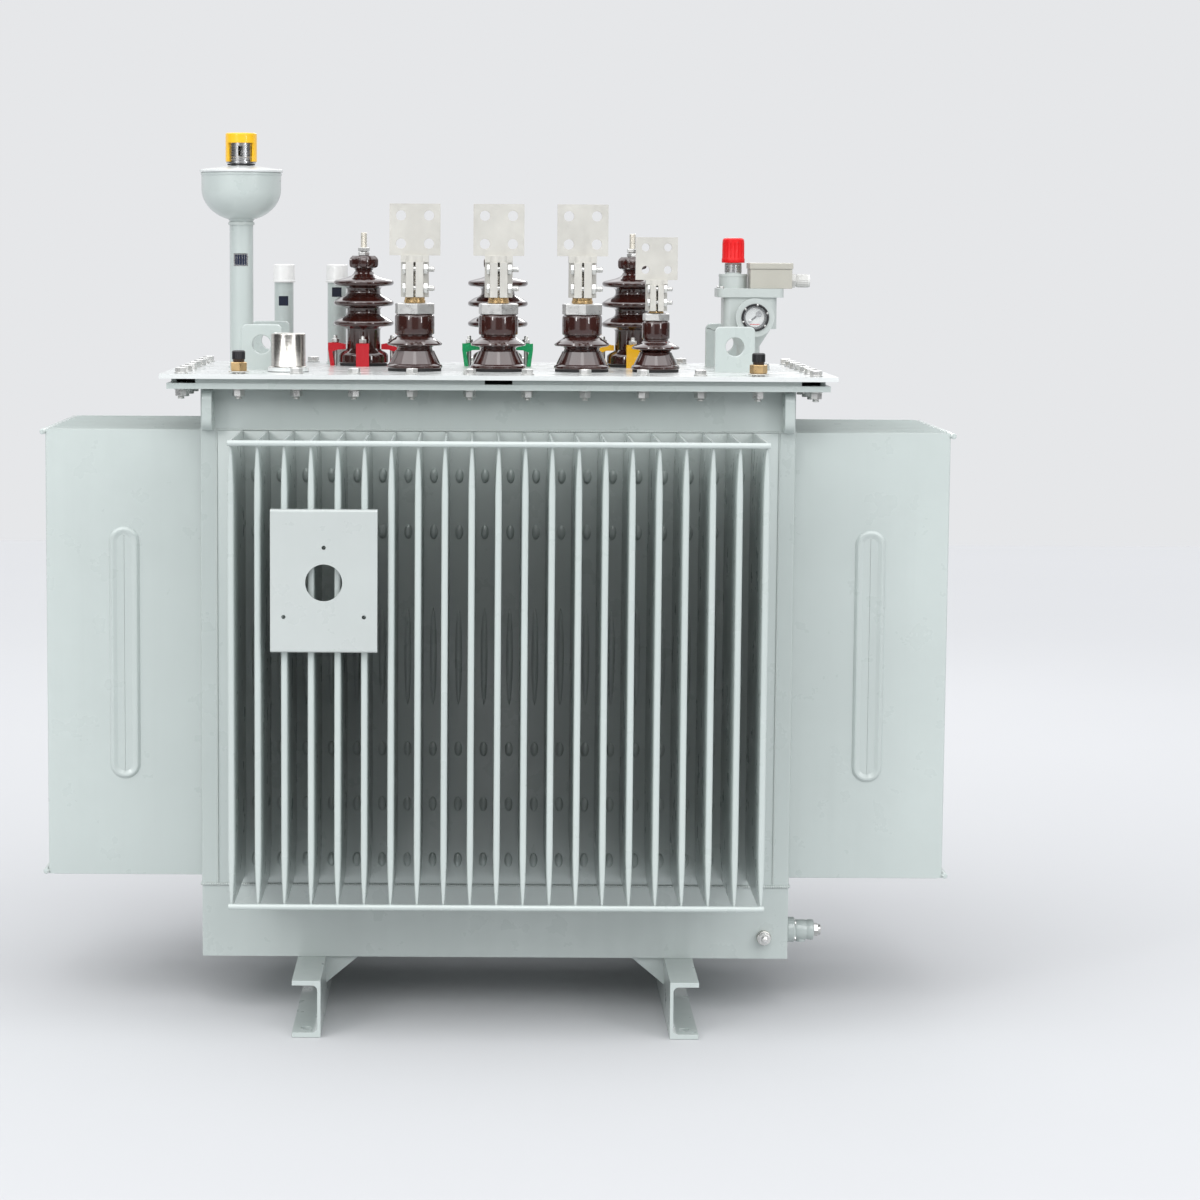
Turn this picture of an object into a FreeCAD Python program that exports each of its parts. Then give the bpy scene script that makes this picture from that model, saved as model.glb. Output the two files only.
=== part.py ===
import FreeCAD, Part
import math
import os
from FreeCAD import Vector

# Three-phase oil-immersed distribution transformer with corrugated tank walls.
# Millimetres. +X runs along the long side, -Y is the low voltage side, +Z is up.
# Origin: centre of the foot bolt pattern, on the floor.

# Feet
foot_gauge = 660.0            # between the two rows of foot bolts, along X
foot_hole_span = 820.0        # between the two bolts of one foot, along Y
foot_hole_dia = 18.0
foot_length = 898.0
channel_height = 100.0
channel_width = 50.0
channel_web = 6.0
channel_flange = 8.5
channel_root_radius = 9.0
foot_hole_offset = 27.5       # bolt row from the back of the channel's web
gusset_thick = 6.0
gusset_length = 60.0
gusset_height = 50.0
gusset_inset = 12.0           # gusset behind the tank's wall line

# Tank shell
tank_length = 1046.0
tank_depth = 506.0
wall = 5.0
pan_thick = 6.0
lower_band_height = 129.0
panel_height = 813.0
top_band_height = 74.0
post_leg_x = 28.0
post_leg_y = 12.0
panel_thick = 2.0
flange_width = 64.0
flange_side_width = 54.0
flange_thick = 10.0

# Corrugated fins
fin_pitch = 45.0
fins_long_side = 21
fins_short_side = 11
fin_depth = 277.0
fin_thick = 11.0
fin_pinch = 4.4               # thickness where the fin is welded shut
fin_taper = 58.0              # height over which the fin swells
fin_sheet = 1.2
fin_shoulder_height = 0.35    # first step of the taper, as a share of its height
fin_shoulder_swell = 0.62     # thickness gained at that step, as a share
fin_top_margin = 2.0
fin_bottom_margin = 14.0
rod_dia = 10.0
rod_inset = 4.5               # rod centre inside the fin's end
rod_overhang = 5.0

# Cover joint
gasket_thick = 8.0
gasket_width = 22.0
gasket_margin = 5.0           # gasket edge from the tank's inner face
limiter_width = 9.0
limiter_margin = 4.0          # limiter bar edge from the flange's edge
limiter_gap_centre = 48.0
limiter_gap_end = 46.0
cover_thick = 8.0
cover_overhang = 12.0
bolt_row_x = 554.0
bolt_row_y = 289.0
bolts_long_side = 12
bolts_short_side = 7
bolt_dia = 12.0
bolt_play = 1.0               # radial play of a bolt in the cover and flange
bolt_head_flats = 19.0
bolt_head_height = 8.0
washer_dia = 24.0
washer_thick = 2.5
nut_height = 10.8
bolt_end = 5.0                # thread showing past the nut
nut_clearance = 0.1

# Lifting
lug_width = 72.0
lug_height = 82.0
lug_thick = 10.0
lug_hole_dia = 33.0
lug_hole_height = 46.0
lug_x = 424.0
lug_y = 125.0
lug_corner = 10.0
lift_plate_thick = 18.0
lift_plate_reach = 44.0
lift_plate_inset = 5.0        # outer face from the tank's side
lift_plate_hole_dia = 24.0
lift_plate_corner = 22.0

# Low voltage bushings
lv_row_y = -120.0
lv_pitch = 150.0
neutral_x = 282.5
bushing_gasket_thick = 5.0
bushing_fit = 1.0             # radial play of porcelain in the cover hole
stud_fit = 0.3                # radial play of the stud in the porcelain
phase = {
    "x": (-lv_pitch, 0.0, lv_pitch), "base_dia": 100.0, "base_height": 31.0, "waist_dia": 65.0,
    "shed_dia": 99.0, "shed_height": 45.0, "neck_dia": 66.0, "cap_dia": 71.0, "cap_bottom": 60.0,
    "cap_top": 96.0, "nut_flats": 66.0, "nut_height": 20.5, "ring_dia": 38.0, "ring_height": 10.5,
    "barrel_dia": 50.0, "barrel_height": 74.0, "palm_width": 91.0, "palm_height": 92.0,
    "palm_thick": 12.0, "palm_hole_dia": 18.0, "palm_pitch": 50.0, "stud_dia": 30.0,
    "below": 55.0, "clamp_bolt_low": 16.0, "clamp_bolt_high": 50.0, "clamp_bolt_dia": 10.0,
}
neutral = {
    "x": (neutral_x,), "base_dia": 87.0, "base_height": 30.0, "waist_dia": 52.0,
    "shed_dia": 86.0, "shed_height": 40.0, "neck_dia": 48.0, "cap_dia": 50.0, "cap_bottom": 54.0,
    "cap_top": 86.0, "nut_flats": 44.0, "nut_height": 14.5, "ring_dia": 28.0, "ring_height": 4.0,
    "barrel_dia": 39.0, "barrel_height": 55.0, "palm_width": 75.0, "palm_height": 76.0,
    "palm_thick": 10.0, "palm_hole_dia": 14.0, "palm_pitch": 40.0, "stud_dia": 20.0,
    "below": 55.0, "clamp_bolt_low": 15.0, "clamp_bolt_high": 39.0, "clamp_bolt_dia": 8.0,
}
clamp_slit = 4.0
clamp_ear_reach = 10.0        # clamp ear in front of the barrel
clamp_ear_share = 0.62        # width of the ears as a share of the barrel
clamp_fit = 0.1               # radial play of the stud in the clamp
clamp_bolt_cover = 3.0        # metal between the stud and a clamp bolt
clamp_crown_share = 0.8       # depth of the crown as a share of the barrel
clamp_head_share = 0.6        # bolt head height as a share of the bolt
clamp_nut_share = 0.8
clamp_flats_share = 1.7
clamp_bolt_tail = 2.0         # bolt past the ear, in bolt diameters
spot_face_play = 1.0
stud_tail = 15.0              # stud below the porcelain, inside the tank

# High voltage bushings
hv_row_y = 120.0
hv_pitch = 250.0
hv_base_dia = 92.0
hv_base_height = 21.0
hv_body_dia = 62.0
hv_shed_dia = 112.0
hv_shed_pitch = 37.5
hv_first_shed = 76.0          # lowest shed's edge above the gasket
hv_shed_count = 3
hv_shed_edge = 5.0
hv_neck_dia = 36.0
hv_neck_top = 177.0
hv_head_dia = 54.0
hv_head_height = 22.0
hv_notches = 8                # notches round the head
hv_notch_dia = 9.0
hv_notch_out = 2.0            # notch axis outside the head
hv_stud_dia = 12.0
hv_stud_above = 43.0
hv_stud_groove = 1.0          # thread relief above the nuts
hv_stud_groove_dia = 10.0
hv_nut_height = 8.0
hv_nut_gap = 0.5              # between the two nuts of a stud
hv_below = 70.0
claw_width = 24.0
claw_reach = 13.0             # claw tip inside the base flange's edge
claw_outer = 20.0             # claw heel outside the base flange's edge
claw_arm = 12.0
claw_tip_share = 0.8          # thickness at the tip as a share of the arm
claw_lift = 4.5               # under side of the arm above the base flange
claw_leg = 12.0               # leg thickness at the cover
claw_stud_dia = 8.0
claw_stud_play = 1.0
claw_stud_offset = 7.0        # stud axis outside the base flange's edge
claw_nut_height = 8.0
claw_nut_flats = 13.0
claw_stud_end = 6.0

# Oil filler
filler_x = -469.0
filler_y = 0.0
filler_dia = 43.0
filler_wall = 3.0
filler_height = 266.0
cup_dia = 145.0
cup_wall = 2.5
cup_straight = 30.0
cup_bowl_depth = 58.0
cup_bowl_steps = 10
lid_spigot_depth = 4.0
lid_spigot_wall = 2.0
lid_dia = 152.0
lid_edge = 5.0
lid_rise = 7.0
valve_dia = 48.0
valve_height = 40.0
valve_neck_dia = 42.0
valve_neck_height = 7.0
valve_flange_dia = 54.0
valve_flange_thick = 2.5
valve_wall = 4.0
valve_port_dia = 22.0
valve_slots = 6
valve_slot_width = 8.0
valve_slot_low = 10.0         # slot ends from the body's two ends
valve_slot_high = 12.0
valve_stem_fit = 0.05         # radial play of the stem in the roof
spring_end_gap = 0.1
cap_corner = 3.0
valve_lift = 5.0
valve_disc_dia = 34.0
valve_disc_thick = 4.0
valve_stem_dia = 8.0
spring_wire = 2.0
spring_dia = 18.0
spring_turns = 5
valve_cap_dia = 57.0
valve_cap_height = 52.0
valve_cap_headroom = 1.0      # over the lifted stem
valve_cap_cut_angle = 110.0   # opening at the front of the cap
valve_cap_cut_height = 34.0
cap_play = 0.4                # radial play of every lift-off cap
seat_gap = 0.3                # lift-off pieces above their seats
filler_window_height = 196.0
window_width = 26.0
window_height = 23.0
window_thick = 3.0

# Gauge tubes
gauge_y = 215.0
gauge_x = (-404.5, -304.0)
gauge_window_height = (118.0, 135.0)
gauge_dia = 36.0
gauge_wall = 2.5
gauge_height = 184.0
gauge_cap_dia = 43.0
gauge_cap_height = 34.0
gauge_cap_cover = 2.5         # thickness of the cap's top
gauge_cap_corner = 2.0
gauge_window_width = 18.0
gauge_window_tall = 18.0

# Tap changer
tap_x = -372.5
tap_y = -195.0
tap_base_dia = 73.0
tap_base_thick = 8.0
tap_boss_dia = 40.0
tap_boss_height = 18.0
tap_cap_dia = 62.0
tap_cap_height = 60.0
tap_cap_wall = 1.5
tap_spigot_height = 6.0
tap_shaft_dia = 12.0
tap_knob_dia = 34.0
tap_knob_height = 16.0
tap_grip_width = 8.0
tap_grip_height = 10.0
tap_running_fit = 0.05
tap_running_gap = 0.3         # knob above its boss
tap_boss_below = 10.0         # boss below the cover
tap_wiper_share = 0.4         # wiper's height in the switch
tap_switch_dia = 60.0
tap_switch_wall = 4.0
tap_switch_height = 84.0
tap_contacts = 5
tap_contact_dia = 6.0
tap_step_angle = 36.0
tap_roof_thick = 6.0
tap_roof_play = 1.0
tap_wiper_width = 9.0
tap_wiper_thick = 5.0

# Protection relay
relay_x = 458.0
relay_y = 0.0
relay_width = 97.0
relay_depth = 84.0
relay_body_bottom = 76.0      # heights above the cover
relay_body_top = 133.0
relay_wall = 5.0
relay_corner = 14.0
relay_plate_corner = 12.0
relay_glass_thick = 4.0
relay_neck_dia = 42.0
relay_neck_top = 44.0
relay_foot_dia = 80.0
relay_foot_thick = 8.0
relay_plate_length = 121.0
relay_plate_depth = 92.0
relay_plate_thick = 16.0
relay_boss_dia = 70.0
relay_boss_reach = 14.0
relay_window_height = 97.0
relay_window_offset = 7.5
relay_ring_dia = 50.0
relay_ring_width = 4.0
relay_ring_reach = 3.0
relay_turret_x = -29.5        # from the relay's axis
relay_turret_dia = 51.0
relay_turret_height = 26.0
relay_valve_dia = 30.0
relay_valve_height = 20.0
relay_stem_dia = 20.0
relay_stem_height = 36.0
relay_cap_dia = 42.0
relay_cap_height = 45.0
float_dia = 30.0
float_length = 24.0
float_pin_dia = 4.0
float_pin_fit = 0.06
float_top_gap = 6.0           # float below the top plate at rest
box_x = 37.5                  # junction box centre from the relay's axis
box_length = 76.0
box_depth = 75.0
box_height = 35.0
box_wall = 3.0
box_lid_height = 11.0
box_lid_over = 1.5
gland_flats = 25.0
gland_nut_dia = 24.0
gland_thread_dia = 20.0
gland_length = 35.0
gland_bore = 12.0
gland_height = 14.0
gland_thread_in = 4.0         # thread inside the box
gland_hex_length = 10.0
gland_play = 0.1
lid_corner = 1.5
lid_skin = 3.0
terminal_block_half = 20.0
terminal_block_depth = 18.0
terminal_block_height = 14.0

# Thermometer plate
plate_x = -292.5
plate_z = 805.0
plate_width = 180.0
plate_height = 241.0
plate_thick = 3.0
plate_stand_off = 18.0
plate_bend = 4.0
plate_hole_dia = 62.0
plate_small_hole_dia = 7.0
plate_pcd = 156.0
plate_hole_drop = 2.5         # large hole below the plate's middle
plate_pcd_drop = 19.0         # centre of the small holes below the large hole
plate_small_holes = 3

# Drain valve
drain_y = -150.0
drain_z = 132.0
drain_stub_length = 8.0       # stub between the wall and the flange
drain_stub_dia = 36.0
drain_flange_dia = 46.0
drain_flange_thick = 13.0
drain_barrel_dia = 37.0
drain_barrel_length = 35.0
drain_bore = 20.0
drain_neck_length = 12.0      # close neck round the spindle
drain_outlet_dia = 12.0
drain_outlet_back = 23.0      # outlet from the barrel's end
drain_head_start = 2.0        # sealing head from the wall
drain_head_length = 6.0
drain_spindle_dia = 14.0
drain_spindle_grip = 13.0
drain_spindle_flats = 21.0
drain_spindle_fit = 0.06
drain_spindle_gap = 0.4

# Earth stud and bonding studs
earth_x = 480.0
earth_z = 139.0
earth_boss_dia = 26.0
earth_boss_thick = 10.0
earth_bolt_dia = 12.0
earth_nut_flats = 19.0
earth_nut_height = 9.0
earth_bolt_reach = 19.0
bond_washer_dia = 36.0
bond_washer_thick = 2.0
bond_hex_flats = 27.0
bond_hex_height = 16.0
bond_cap_dia = 23.0
bond_cap_height = 16.0
bond_ring_dia = 20.0
bond_ring_height = 4.0

# Active part inside the tank
limb_pitch = 335.0
limb_dia = 200.0
yoke_height = 190.0
yoke_depth = 180.0
core_headroom = 112.0         # cover above the upper yoke
core_lift = 46.0              # lower yoke above the pan
core_end_reach = 95.0         # yoke past the outer limb's axis
clamp_thick = 12.0
clamp_height = 120.0
clamp_foot_width = 80.0
clamp_foot_reach = 60.0       # foot on the pan past the bar
lv_coil_inner = 212.0
lv_coil_outer = 244.0
hv_coil_inner = 262.0
hv_coil_outer = 322.0
coil_margin = 20.0            # coil end from the yoke
barrier_play = 1.0            # pressboard to its coil, on diameter
ring_inset = 10.0             # end rings inside the coil, on diameter
lead_dia = 14.0
hv_lead_dia = 8.4
lead_drop = 12.0              # lead below the coil's upper end
lead_shift = 20.0             # lead beside the limb's axis
neutral_shift = 60.0
lead_rise = 22.0              # top run of a lead below the studs
lead_gap = 0.2                # end of a lead from the coil

# Worked out from the sizes above
pan_bottom = channel_height
pan_top = pan_bottom + pan_thick
panel_bottom = pan_bottom + lower_band_height
panel_top = panel_bottom + panel_height
flange_bottom = panel_top + top_band_height
flange_top = flange_bottom + flange_thick
cover_bottom = flange_top + gasket_thick
cover_top = cover_bottom + cover_thick
half_x = tank_length / 2
half_y = tank_depth / 2
inner_x = half_x - wall
inner_y = half_y - wall
flange_x = half_x + flange_side_width
flange_y = half_y + flange_width
cover_x = flange_x + cover_overhang
cover_y = flange_y + cover_overhang
fin_bottom = panel_bottom + fin_bottom_margin
fin_top = panel_top - fin_top_margin
tip_x = half_x + fin_depth
tip_y = half_y + fin_depth
bolt_hole_dia = bolt_dia + 2 * bolt_play
web_back_x = foot_gauge / 2 - foot_hole_offset
seat_z = cover_top + bushing_gasket_thick
drain_end = half_x + drain_stub_length + drain_flange_thick + drain_barrel_length
drain_outlet_x = drain_end - drain_outlet_back
core_window = cover_bottom - pan_top - core_lift - 2 * yoke_height - core_headroom
UP = Vector(0, 0, 1)


def box(x0, x1, y0, y1, z0, z1):
    return Part.makeBox(x1 - x0, y1 - y0, z1 - z0, Vector(x0, y0, z0))


def rod(x, y, z, dia, length, axis=UP):
    return Part.makeCylinder(dia / 2, length, Vector(x, y, z), axis)


def pipe(x, y, z, outer, inner, length, axis=UP):
    return rod(x, y, z, outer, length, axis).cut(rod(x, y, z, inner, length, axis))


def hexagon(x, y, z, flats, height, axis=UP, bore=0.0):
    corner = flats / math.sqrt(3)
    points = [Vector(corner * math.cos(math.radians(60 * i)), corner * math.sin(math.radians(60 * i)), 0)
              for i in range(7)]
    solid = Part.Face(Part.makePolygon(points)).extrude(Vector(0, 0, height))
    turn = FreeCAD.Rotation(UP, axis)
    solid.Placement = FreeCAD.Placement(Vector(x, y, z), turn)
    if bore:
        solid = solid.cut(rod(x, y, z, bore, height, axis))
    return solid


def prism(points, direction):
    face = Part.Face(Part.makePolygon(points + points[:1]))
    return face.extrude(direction)


def turned(x, y, z, outline):
    """A solid turned about the vertical through x, y; the outline holds (radius, height) points."""
    points = [Vector(r, 0, h) for r, h in outline]
    face = Part.Face(Part.makePolygon(points + points[:1]))
    solid = face.revolve(Vector(0, 0, 0), UP, 360)
    solid.translate(Vector(x, y, z))
    return solid


def frame_ring(outer_x, outer_y, inner_x_, inner_y_, z0, z1):
    outer = box(-outer_x, outer_x, -outer_y, outer_y, z0, z1)
    return outer.cut(box(-inner_x_, inner_x_, -inner_y_, inner_y_, z0, z1))


def join(solids):
    first = solids[0]
    if len(solids) > 1:
        first = first.fuse(solids[1:])
    return first.removeSplitter()


def mirrored(solids, normal):
    return [s.mirror(Vector(0, 0, 0), normal) for s in solids]


def cover_bolt_places():
    places = []
    pitch_x = 2 * bolt_row_x / (bolts_long_side - 1)
    pitch_y = 2 * bolt_row_y / (bolts_short_side - 1)
    for side in (-1, 1):
        for i in range(bolts_long_side):
            places.append((-bolt_row_x + i * pitch_x, side * bolt_row_y))
        for i in range(1, bolts_short_side - 1):
            places.append((side * bolt_row_x, -bolt_row_y + i * pitch_y))
    return places


def bonding_places():
    pitch_x = 2 * bolt_row_x / (bolts_long_side - 1)
    return [(side * (bolt_row_x - pitch_x), -bolt_row_y) for side in (-1, 1)]


def foot_channels():
    feet = []
    for side in (-1, 1):
        outer = box(web_back_x, web_back_x + channel_width, -foot_length / 2, foot_length / 2, 0,
                    channel_height)
        hollow = box(web_back_x + channel_web, web_back_x + channel_width, -foot_length / 2,
                     foot_length / 2, channel_flange, channel_height - channel_flange)
        roots = [e for e in hollow.Edges
                 if abs(e.BoundBox.XMax - web_back_x - channel_web) < 0.01 and e.BoundBox.YLength > 1]
        hollow = hollow.makeFillet(channel_root_radius, roots)
        channel = outer.cut(hollow)
        for y in (-foot_hole_span / 2, foot_hole_span / 2):
            channel = channel.cut(rod(foot_gauge / 2, y, 0, foot_hole_dia, channel_flange))
        parts = [channel]
        for y_side in (-1, 1):
            y = y_side * (half_y - gusset_inset - gusset_thick / 2) - gusset_thick / 2
            points = [Vector(web_back_x, y, channel_height),
                      Vector(web_back_x - gusset_length, y, channel_height),
                      Vector(web_back_x, y, channel_height - gusset_height)]
            parts.append(prism(points, Vector(0, gusset_thick, 0)))
        foot = join(parts)
        feet.append(foot if side > 0 else foot.mirror(Vector(0, 0, 0), Vector(1, 0, 0)))
    return feet


def tank_base_pan():
    floor = box(-half_x, half_x, -half_y, half_y, pan_bottom, pan_top)
    band = frame_ring(half_x, half_y, inner_x, inner_y, pan_top, panel_bottom)
    pan = join([floor, band])
    pan = pan.cut(rod(inner_x, drain_y, drain_z, drain_bore, wall, Vector(1, 0, 0)))
    return [pan]


def corner_posts():
    x0 = half_x - post_leg_x
    y0 = half_y - post_leg_y
    leg_x = box(x0, half_x, half_y - wall, half_y, panel_bottom, panel_top)
    leg_y = box(half_x - wall, half_x, y0, half_y, panel_bottom, panel_top)
    post = join([leg_x, leg_y])
    pair = [post, post.mirror(Vector(0, 0, 0), Vector(1, 0, 0))]
    return pair + mirrored(pair, Vector(0, 1, 0))


def fin_outline(thick, pinch, bottom, top, taper):
    """Half-thickness against height: pinched ends swelling in two steps to full thickness."""
    shoulder = taper * fin_shoulder_height
    share = pinch + (thick - pinch) * fin_shoulder_swell
    steps = [(bottom, pinch), (bottom + shoulder, share), (bottom + taper, thick),
             (top - taper, thick), (top - shoulder, share), (top, pinch)]
    right = [(t / 2, z) for z, t in steps]
    left = [(-t / 2, z) for z, t in reversed(steps)]
    return right + left


def fin_solid(depth, closed_end):
    """One hollow fin standing on the plane y = 0 and reaching to y = -depth."""
    outer = [Vector(x, 0, z) for x, z in fin_outline(fin_thick, fin_pinch, fin_bottom, fin_top, fin_taper)]
    inner = [Vector(x, 0, z) for x, z in fin_outline(
        fin_thick - 2 * fin_sheet, fin_pinch - 2 * fin_sheet, fin_bottom + closed_end,
        fin_top - closed_end, fin_taper)]
    shell = prism(outer, Vector(0, -depth, 0))
    hollow = prism(inner, Vector(0, -(depth - fin_sheet), 0))
    return shell, hollow


def fin_wall(half_width, half_span, count):
    """A corrugated wall in front of y = 0, for the side whose outer face is y = 0."""
    sheet = box(-half_width, half_width, 0, panel_thick, panel_bottom, panel_top)
    shells = []
    hollows = []
    shell, hollow = fin_solid(fin_depth, fin_sheet)
    for i in range(count):
        x = -half_span + i * fin_pitch
        one = shell.copy()
        one.translate(Vector(x, 0, 0))
        shells.append(one)
        gap = hollow.copy()
        gap.translate(Vector(x, panel_thick, 0))
        slot = gap.copy()
        slot.translate(Vector(0, -panel_thick, 0))
        hollows.append(gap.fuse(slot).removeSplitter())
    solid = sheet.fuse(shells).removeSplitter()
    return solid.cut(hollows)


def long_walls():
    half_width = half_x - post_leg_x
    span = (fins_long_side - 1) / 2 * fin_pitch
    front = fin_wall(half_width, span, fins_long_side)
    front.translate(Vector(0, -half_y, 0))
    return front, front.mirror(Vector(0, 0, 0), Vector(0, 1, 0))


def short_walls():
    half_width = half_y - post_leg_y
    span = (fins_short_side - 1) / 2 * fin_pitch
    left = fin_wall(half_width, span, fins_short_side)
    left.rotate(Vector(0, 0, 0), UP, -90)
    left.translate(Vector(-half_x, 0, 0))
    return left, left.mirror(Vector(0, 0, 0), Vector(1, 0, 0))


def fin_tie_rods():
    rods = []
    half_long = (fins_long_side - 1) / 2 * fin_pitch + rod_overhang
    half_short = (fins_short_side - 1) / 2 * fin_pitch + rod_overhang
    for z in (fin_bottom + rod_inset, fin_top - rod_inset):
        for side in (-1, 1):
            y = side * (tip_y + rod_dia / 2)
            x = side * (tip_x + rod_dia / 2)
            rods.append(rod(-half_long, y, z, rod_dia, 2 * half_long, Vector(1, 0, 0)))
            rods.append(rod(x, -half_short, z, rod_dia, 2 * half_short, Vector(0, 1, 0)))
    return rods


def tank_rim():
    band = frame_ring(half_x, half_y, inner_x, inner_y, panel_top, flange_bottom)
    flange = frame_ring(flange_x, flange_y, inner_x, inner_y, flange_bottom, flange_top)
    holes = [rod(x, y, flange_bottom, bolt_hole_dia, flange_thick) for x, y in cover_bolt_places()]
    return [join([band, flange]).cut(holes)]


def tank_lifting_plates():
    x0 = half_x - lift_plate_inset - lift_plate_thick
    y0 = half_y + lift_plate_reach
    mid = (panel_top + flange_bottom) / 2
    blank = box(x0, x0 + lift_plate_thick, half_y, y0, panel_top, flange_bottom)
    edges = [e for e in blank.Edges
             if abs(e.BoundBox.YMin - y0) < 0.01 and e.BoundBox.ZLength < 0.01 and e.BoundBox.XLength > 1]
    plate = blank.makeFillet(lift_plate_corner, edges)
    hole = rod(x0, half_y + lift_plate_reach / 2, mid, lift_plate_hole_dia, lift_plate_thick,
               Vector(1, 0, 0))
    plate = plate.cut(hole)
    pair = [plate, plate.mirror(Vector(0, 0, 0), Vector(1, 0, 0))]
    return pair + mirrored(pair, Vector(0, 1, 0))


def cover_gasket():
    gx = inner_x + gasket_margin
    gy = inner_y + gasket_margin
    return [frame_ring(gx + gasket_width, gy + gasket_width, gx, gy, flange_top, cover_bottom)]


def gasket_limiter_bars():
    bars = []
    y1 = flange_y - limiter_margin
    y0 = y1 - limiter_width
    x1 = flange_x - limiter_margin
    x0 = x1 - limiter_width
    for side in (-1, 1):
        for start, end in ((-x1 + limiter_gap_end, -limiter_gap_centre / 2),
                           (limiter_gap_centre / 2, x1 - limiter_gap_end)):
            bars.append(box(start, end, min(side * y0, side * y1), max(side * y0, side * y1),
                            flange_top, cover_bottom))
        span = y1 - limiter_gap_end
        bars.append(box(min(side * x0, side * x1), max(side * x0, side * x1), -span, span,
                        flange_top, cover_bottom))
    return bars


def bushing_places():
    return ([(x, lv_row_y, phase) for x in phase["x"]] + [(x, lv_row_y, neutral) for x in neutral["x"]])


def hv_places():
    return [(-hv_pitch, hv_row_y), (0.0, hv_row_y), (hv_pitch, hv_row_y)]


def claw_places(x, y):
    radius = hv_base_dia / 2 + claw_stud_offset
    return [(x + radius * c, y + radius * s, angle)
            for c, s, angle in ((1, 0, 0), (0, 1, 90), (-1, 0, 180), (0, -1, 270))]


def cover_plate():
    plate = box(-cover_x, cover_x, -cover_y, cover_y, cover_bottom, cover_top)
    holes = [rod(x, y, cover_bottom, bolt_hole_dia, cover_thick) for x, y in cover_bolt_places()]
    for x, y, b in bushing_places():
        holes.append(rod(x, y, cover_bottom, b["waist_dia"] + 2 * bushing_fit, cover_thick))
    for x, y in hv_places():
        holes.append(rod(x, y, cover_bottom, hv_body_dia + 2 * bushing_fit, cover_thick))
    holes.append(rod(filler_x, filler_y, cover_bottom, filler_dia - 2 * filler_wall, cover_thick))
    for x in gauge_x:
        holes.append(rod(x, gauge_y, cover_bottom, gauge_dia - 2 * gauge_wall, cover_thick))
    holes.append(rod(tap_x, tap_y, cover_bottom, tap_boss_dia + 2 * nut_clearance, cover_thick))
    holes.append(rod(relay_x, relay_y, cover_bottom, relay_neck_dia - 2 * relay_wall, cover_thick))
    return [plate.cut(holes)]


def cover_bolts():
    solids = []
    bonded = bonding_places()
    shank = washer_thick + cover_thick + gasket_thick + flange_thick + washer_thick + nut_height + bolt_end
    for x, y in cover_bolt_places():
        is_bonded = any(abs(x - bx) < 1 and abs(y - by) < 1 for bx, by in bonded)
        top = cover_top + washer_thick
        z0 = top - shank
        if is_bonded:
            solids.append(rod(x, y, z0, bolt_dia, shank + bond_washer_thick + bond_hex_height
                              + bond_ring_height))
        else:
            head = hexagon(x, y, top, bolt_head_flats, bolt_head_height)
            solids.append(join([rod(x, y, z0, bolt_dia, shank), head]))
        solids.append(pipe(x, y, cover_top, washer_dia, bolt_dia + 2 * nut_clearance, washer_thick))
        low = flange_bottom - washer_thick
        solids.append(pipe(x, y, low, washer_dia, bolt_dia + 2 * nut_clearance, washer_thick))
    return solids


def cover_nuts():
    z = flange_bottom - washer_thick - nut_height
    bore = bolt_dia + 2 * nut_clearance
    return [hexagon(x, y, z, bolt_head_flats, nut_height, UP, bore) for x, y in cover_bolt_places()]


def cover_lifting_lugs():
    lugs = []
    for sx in (-1, 1):
        for sy in (-1, 1):
            x = sx * lug_x
            y = sy * lug_y - lug_thick / 2
            blank = box(x - lug_width / 2, x + lug_width / 2, y, y + lug_thick, cover_top,
                        cover_top + lug_height)
            top = cover_top + lug_height
            edges = [e for e in blank.Edges
                     if abs(e.BoundBox.ZMin - top) < 0.01 and e.BoundBox.YLength > 1]
            lug = blank.makeFillet(lug_corner, edges)
            hole = rod(x, y, cover_top + lug_hole_height, lug_hole_dia, lug_thick, Vector(0, 1, 0))
            lugs.append(lug.cut(hole))
    return lugs


def lv_porcelain(x, y, b):
    bore = b["stud_dia"] / 2 + stud_fit
    waist = b["waist_dia"] / 2
    shed = b["shed_dia"] / 2
    neck = b["neck_dia"] / 2
    cap = b["cap_dia"] / 2
    base = b["base_dia"] / 2
    outline = [
        (bore, -b["below"]), (waist - 6, -b["below"]), (waist - 1, -b["below"] + 5), (waist - 1, 0),
        (base, 0), (base, 5), (base - 3, 8), (waist, b["base_height"]),
        (waist + 1, b["shed_height"] - 6), (shed - 2, b["shed_height"] - 4),
        (shed, b["shed_height"] - 2), (shed - 1, b["shed_height"] + 1), (neck + 2, b["cap_bottom"] - 5),
        (neck - 1, b["cap_bottom"] - 2), (cap - 2, b["cap_bottom"]), (cap, b["cap_bottom"] + 3),
        (cap, b["cap_top"] - 4), (cap - 3, b["cap_top"]), (bore, b["cap_top"]),
    ]
    return turned(x, y, seat_z, outline)


def lv_stack(b):
    """Heights of the fittings above the porcelain: nut, ring, clamp barrel, palm."""
    nut = seat_z + b["cap_top"]
    ring = nut + b["nut_height"]
    barrel = ring + b["ring_height"]
    palm = barrel + b["barrel_height"]
    return nut, ring, barrel, palm


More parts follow.
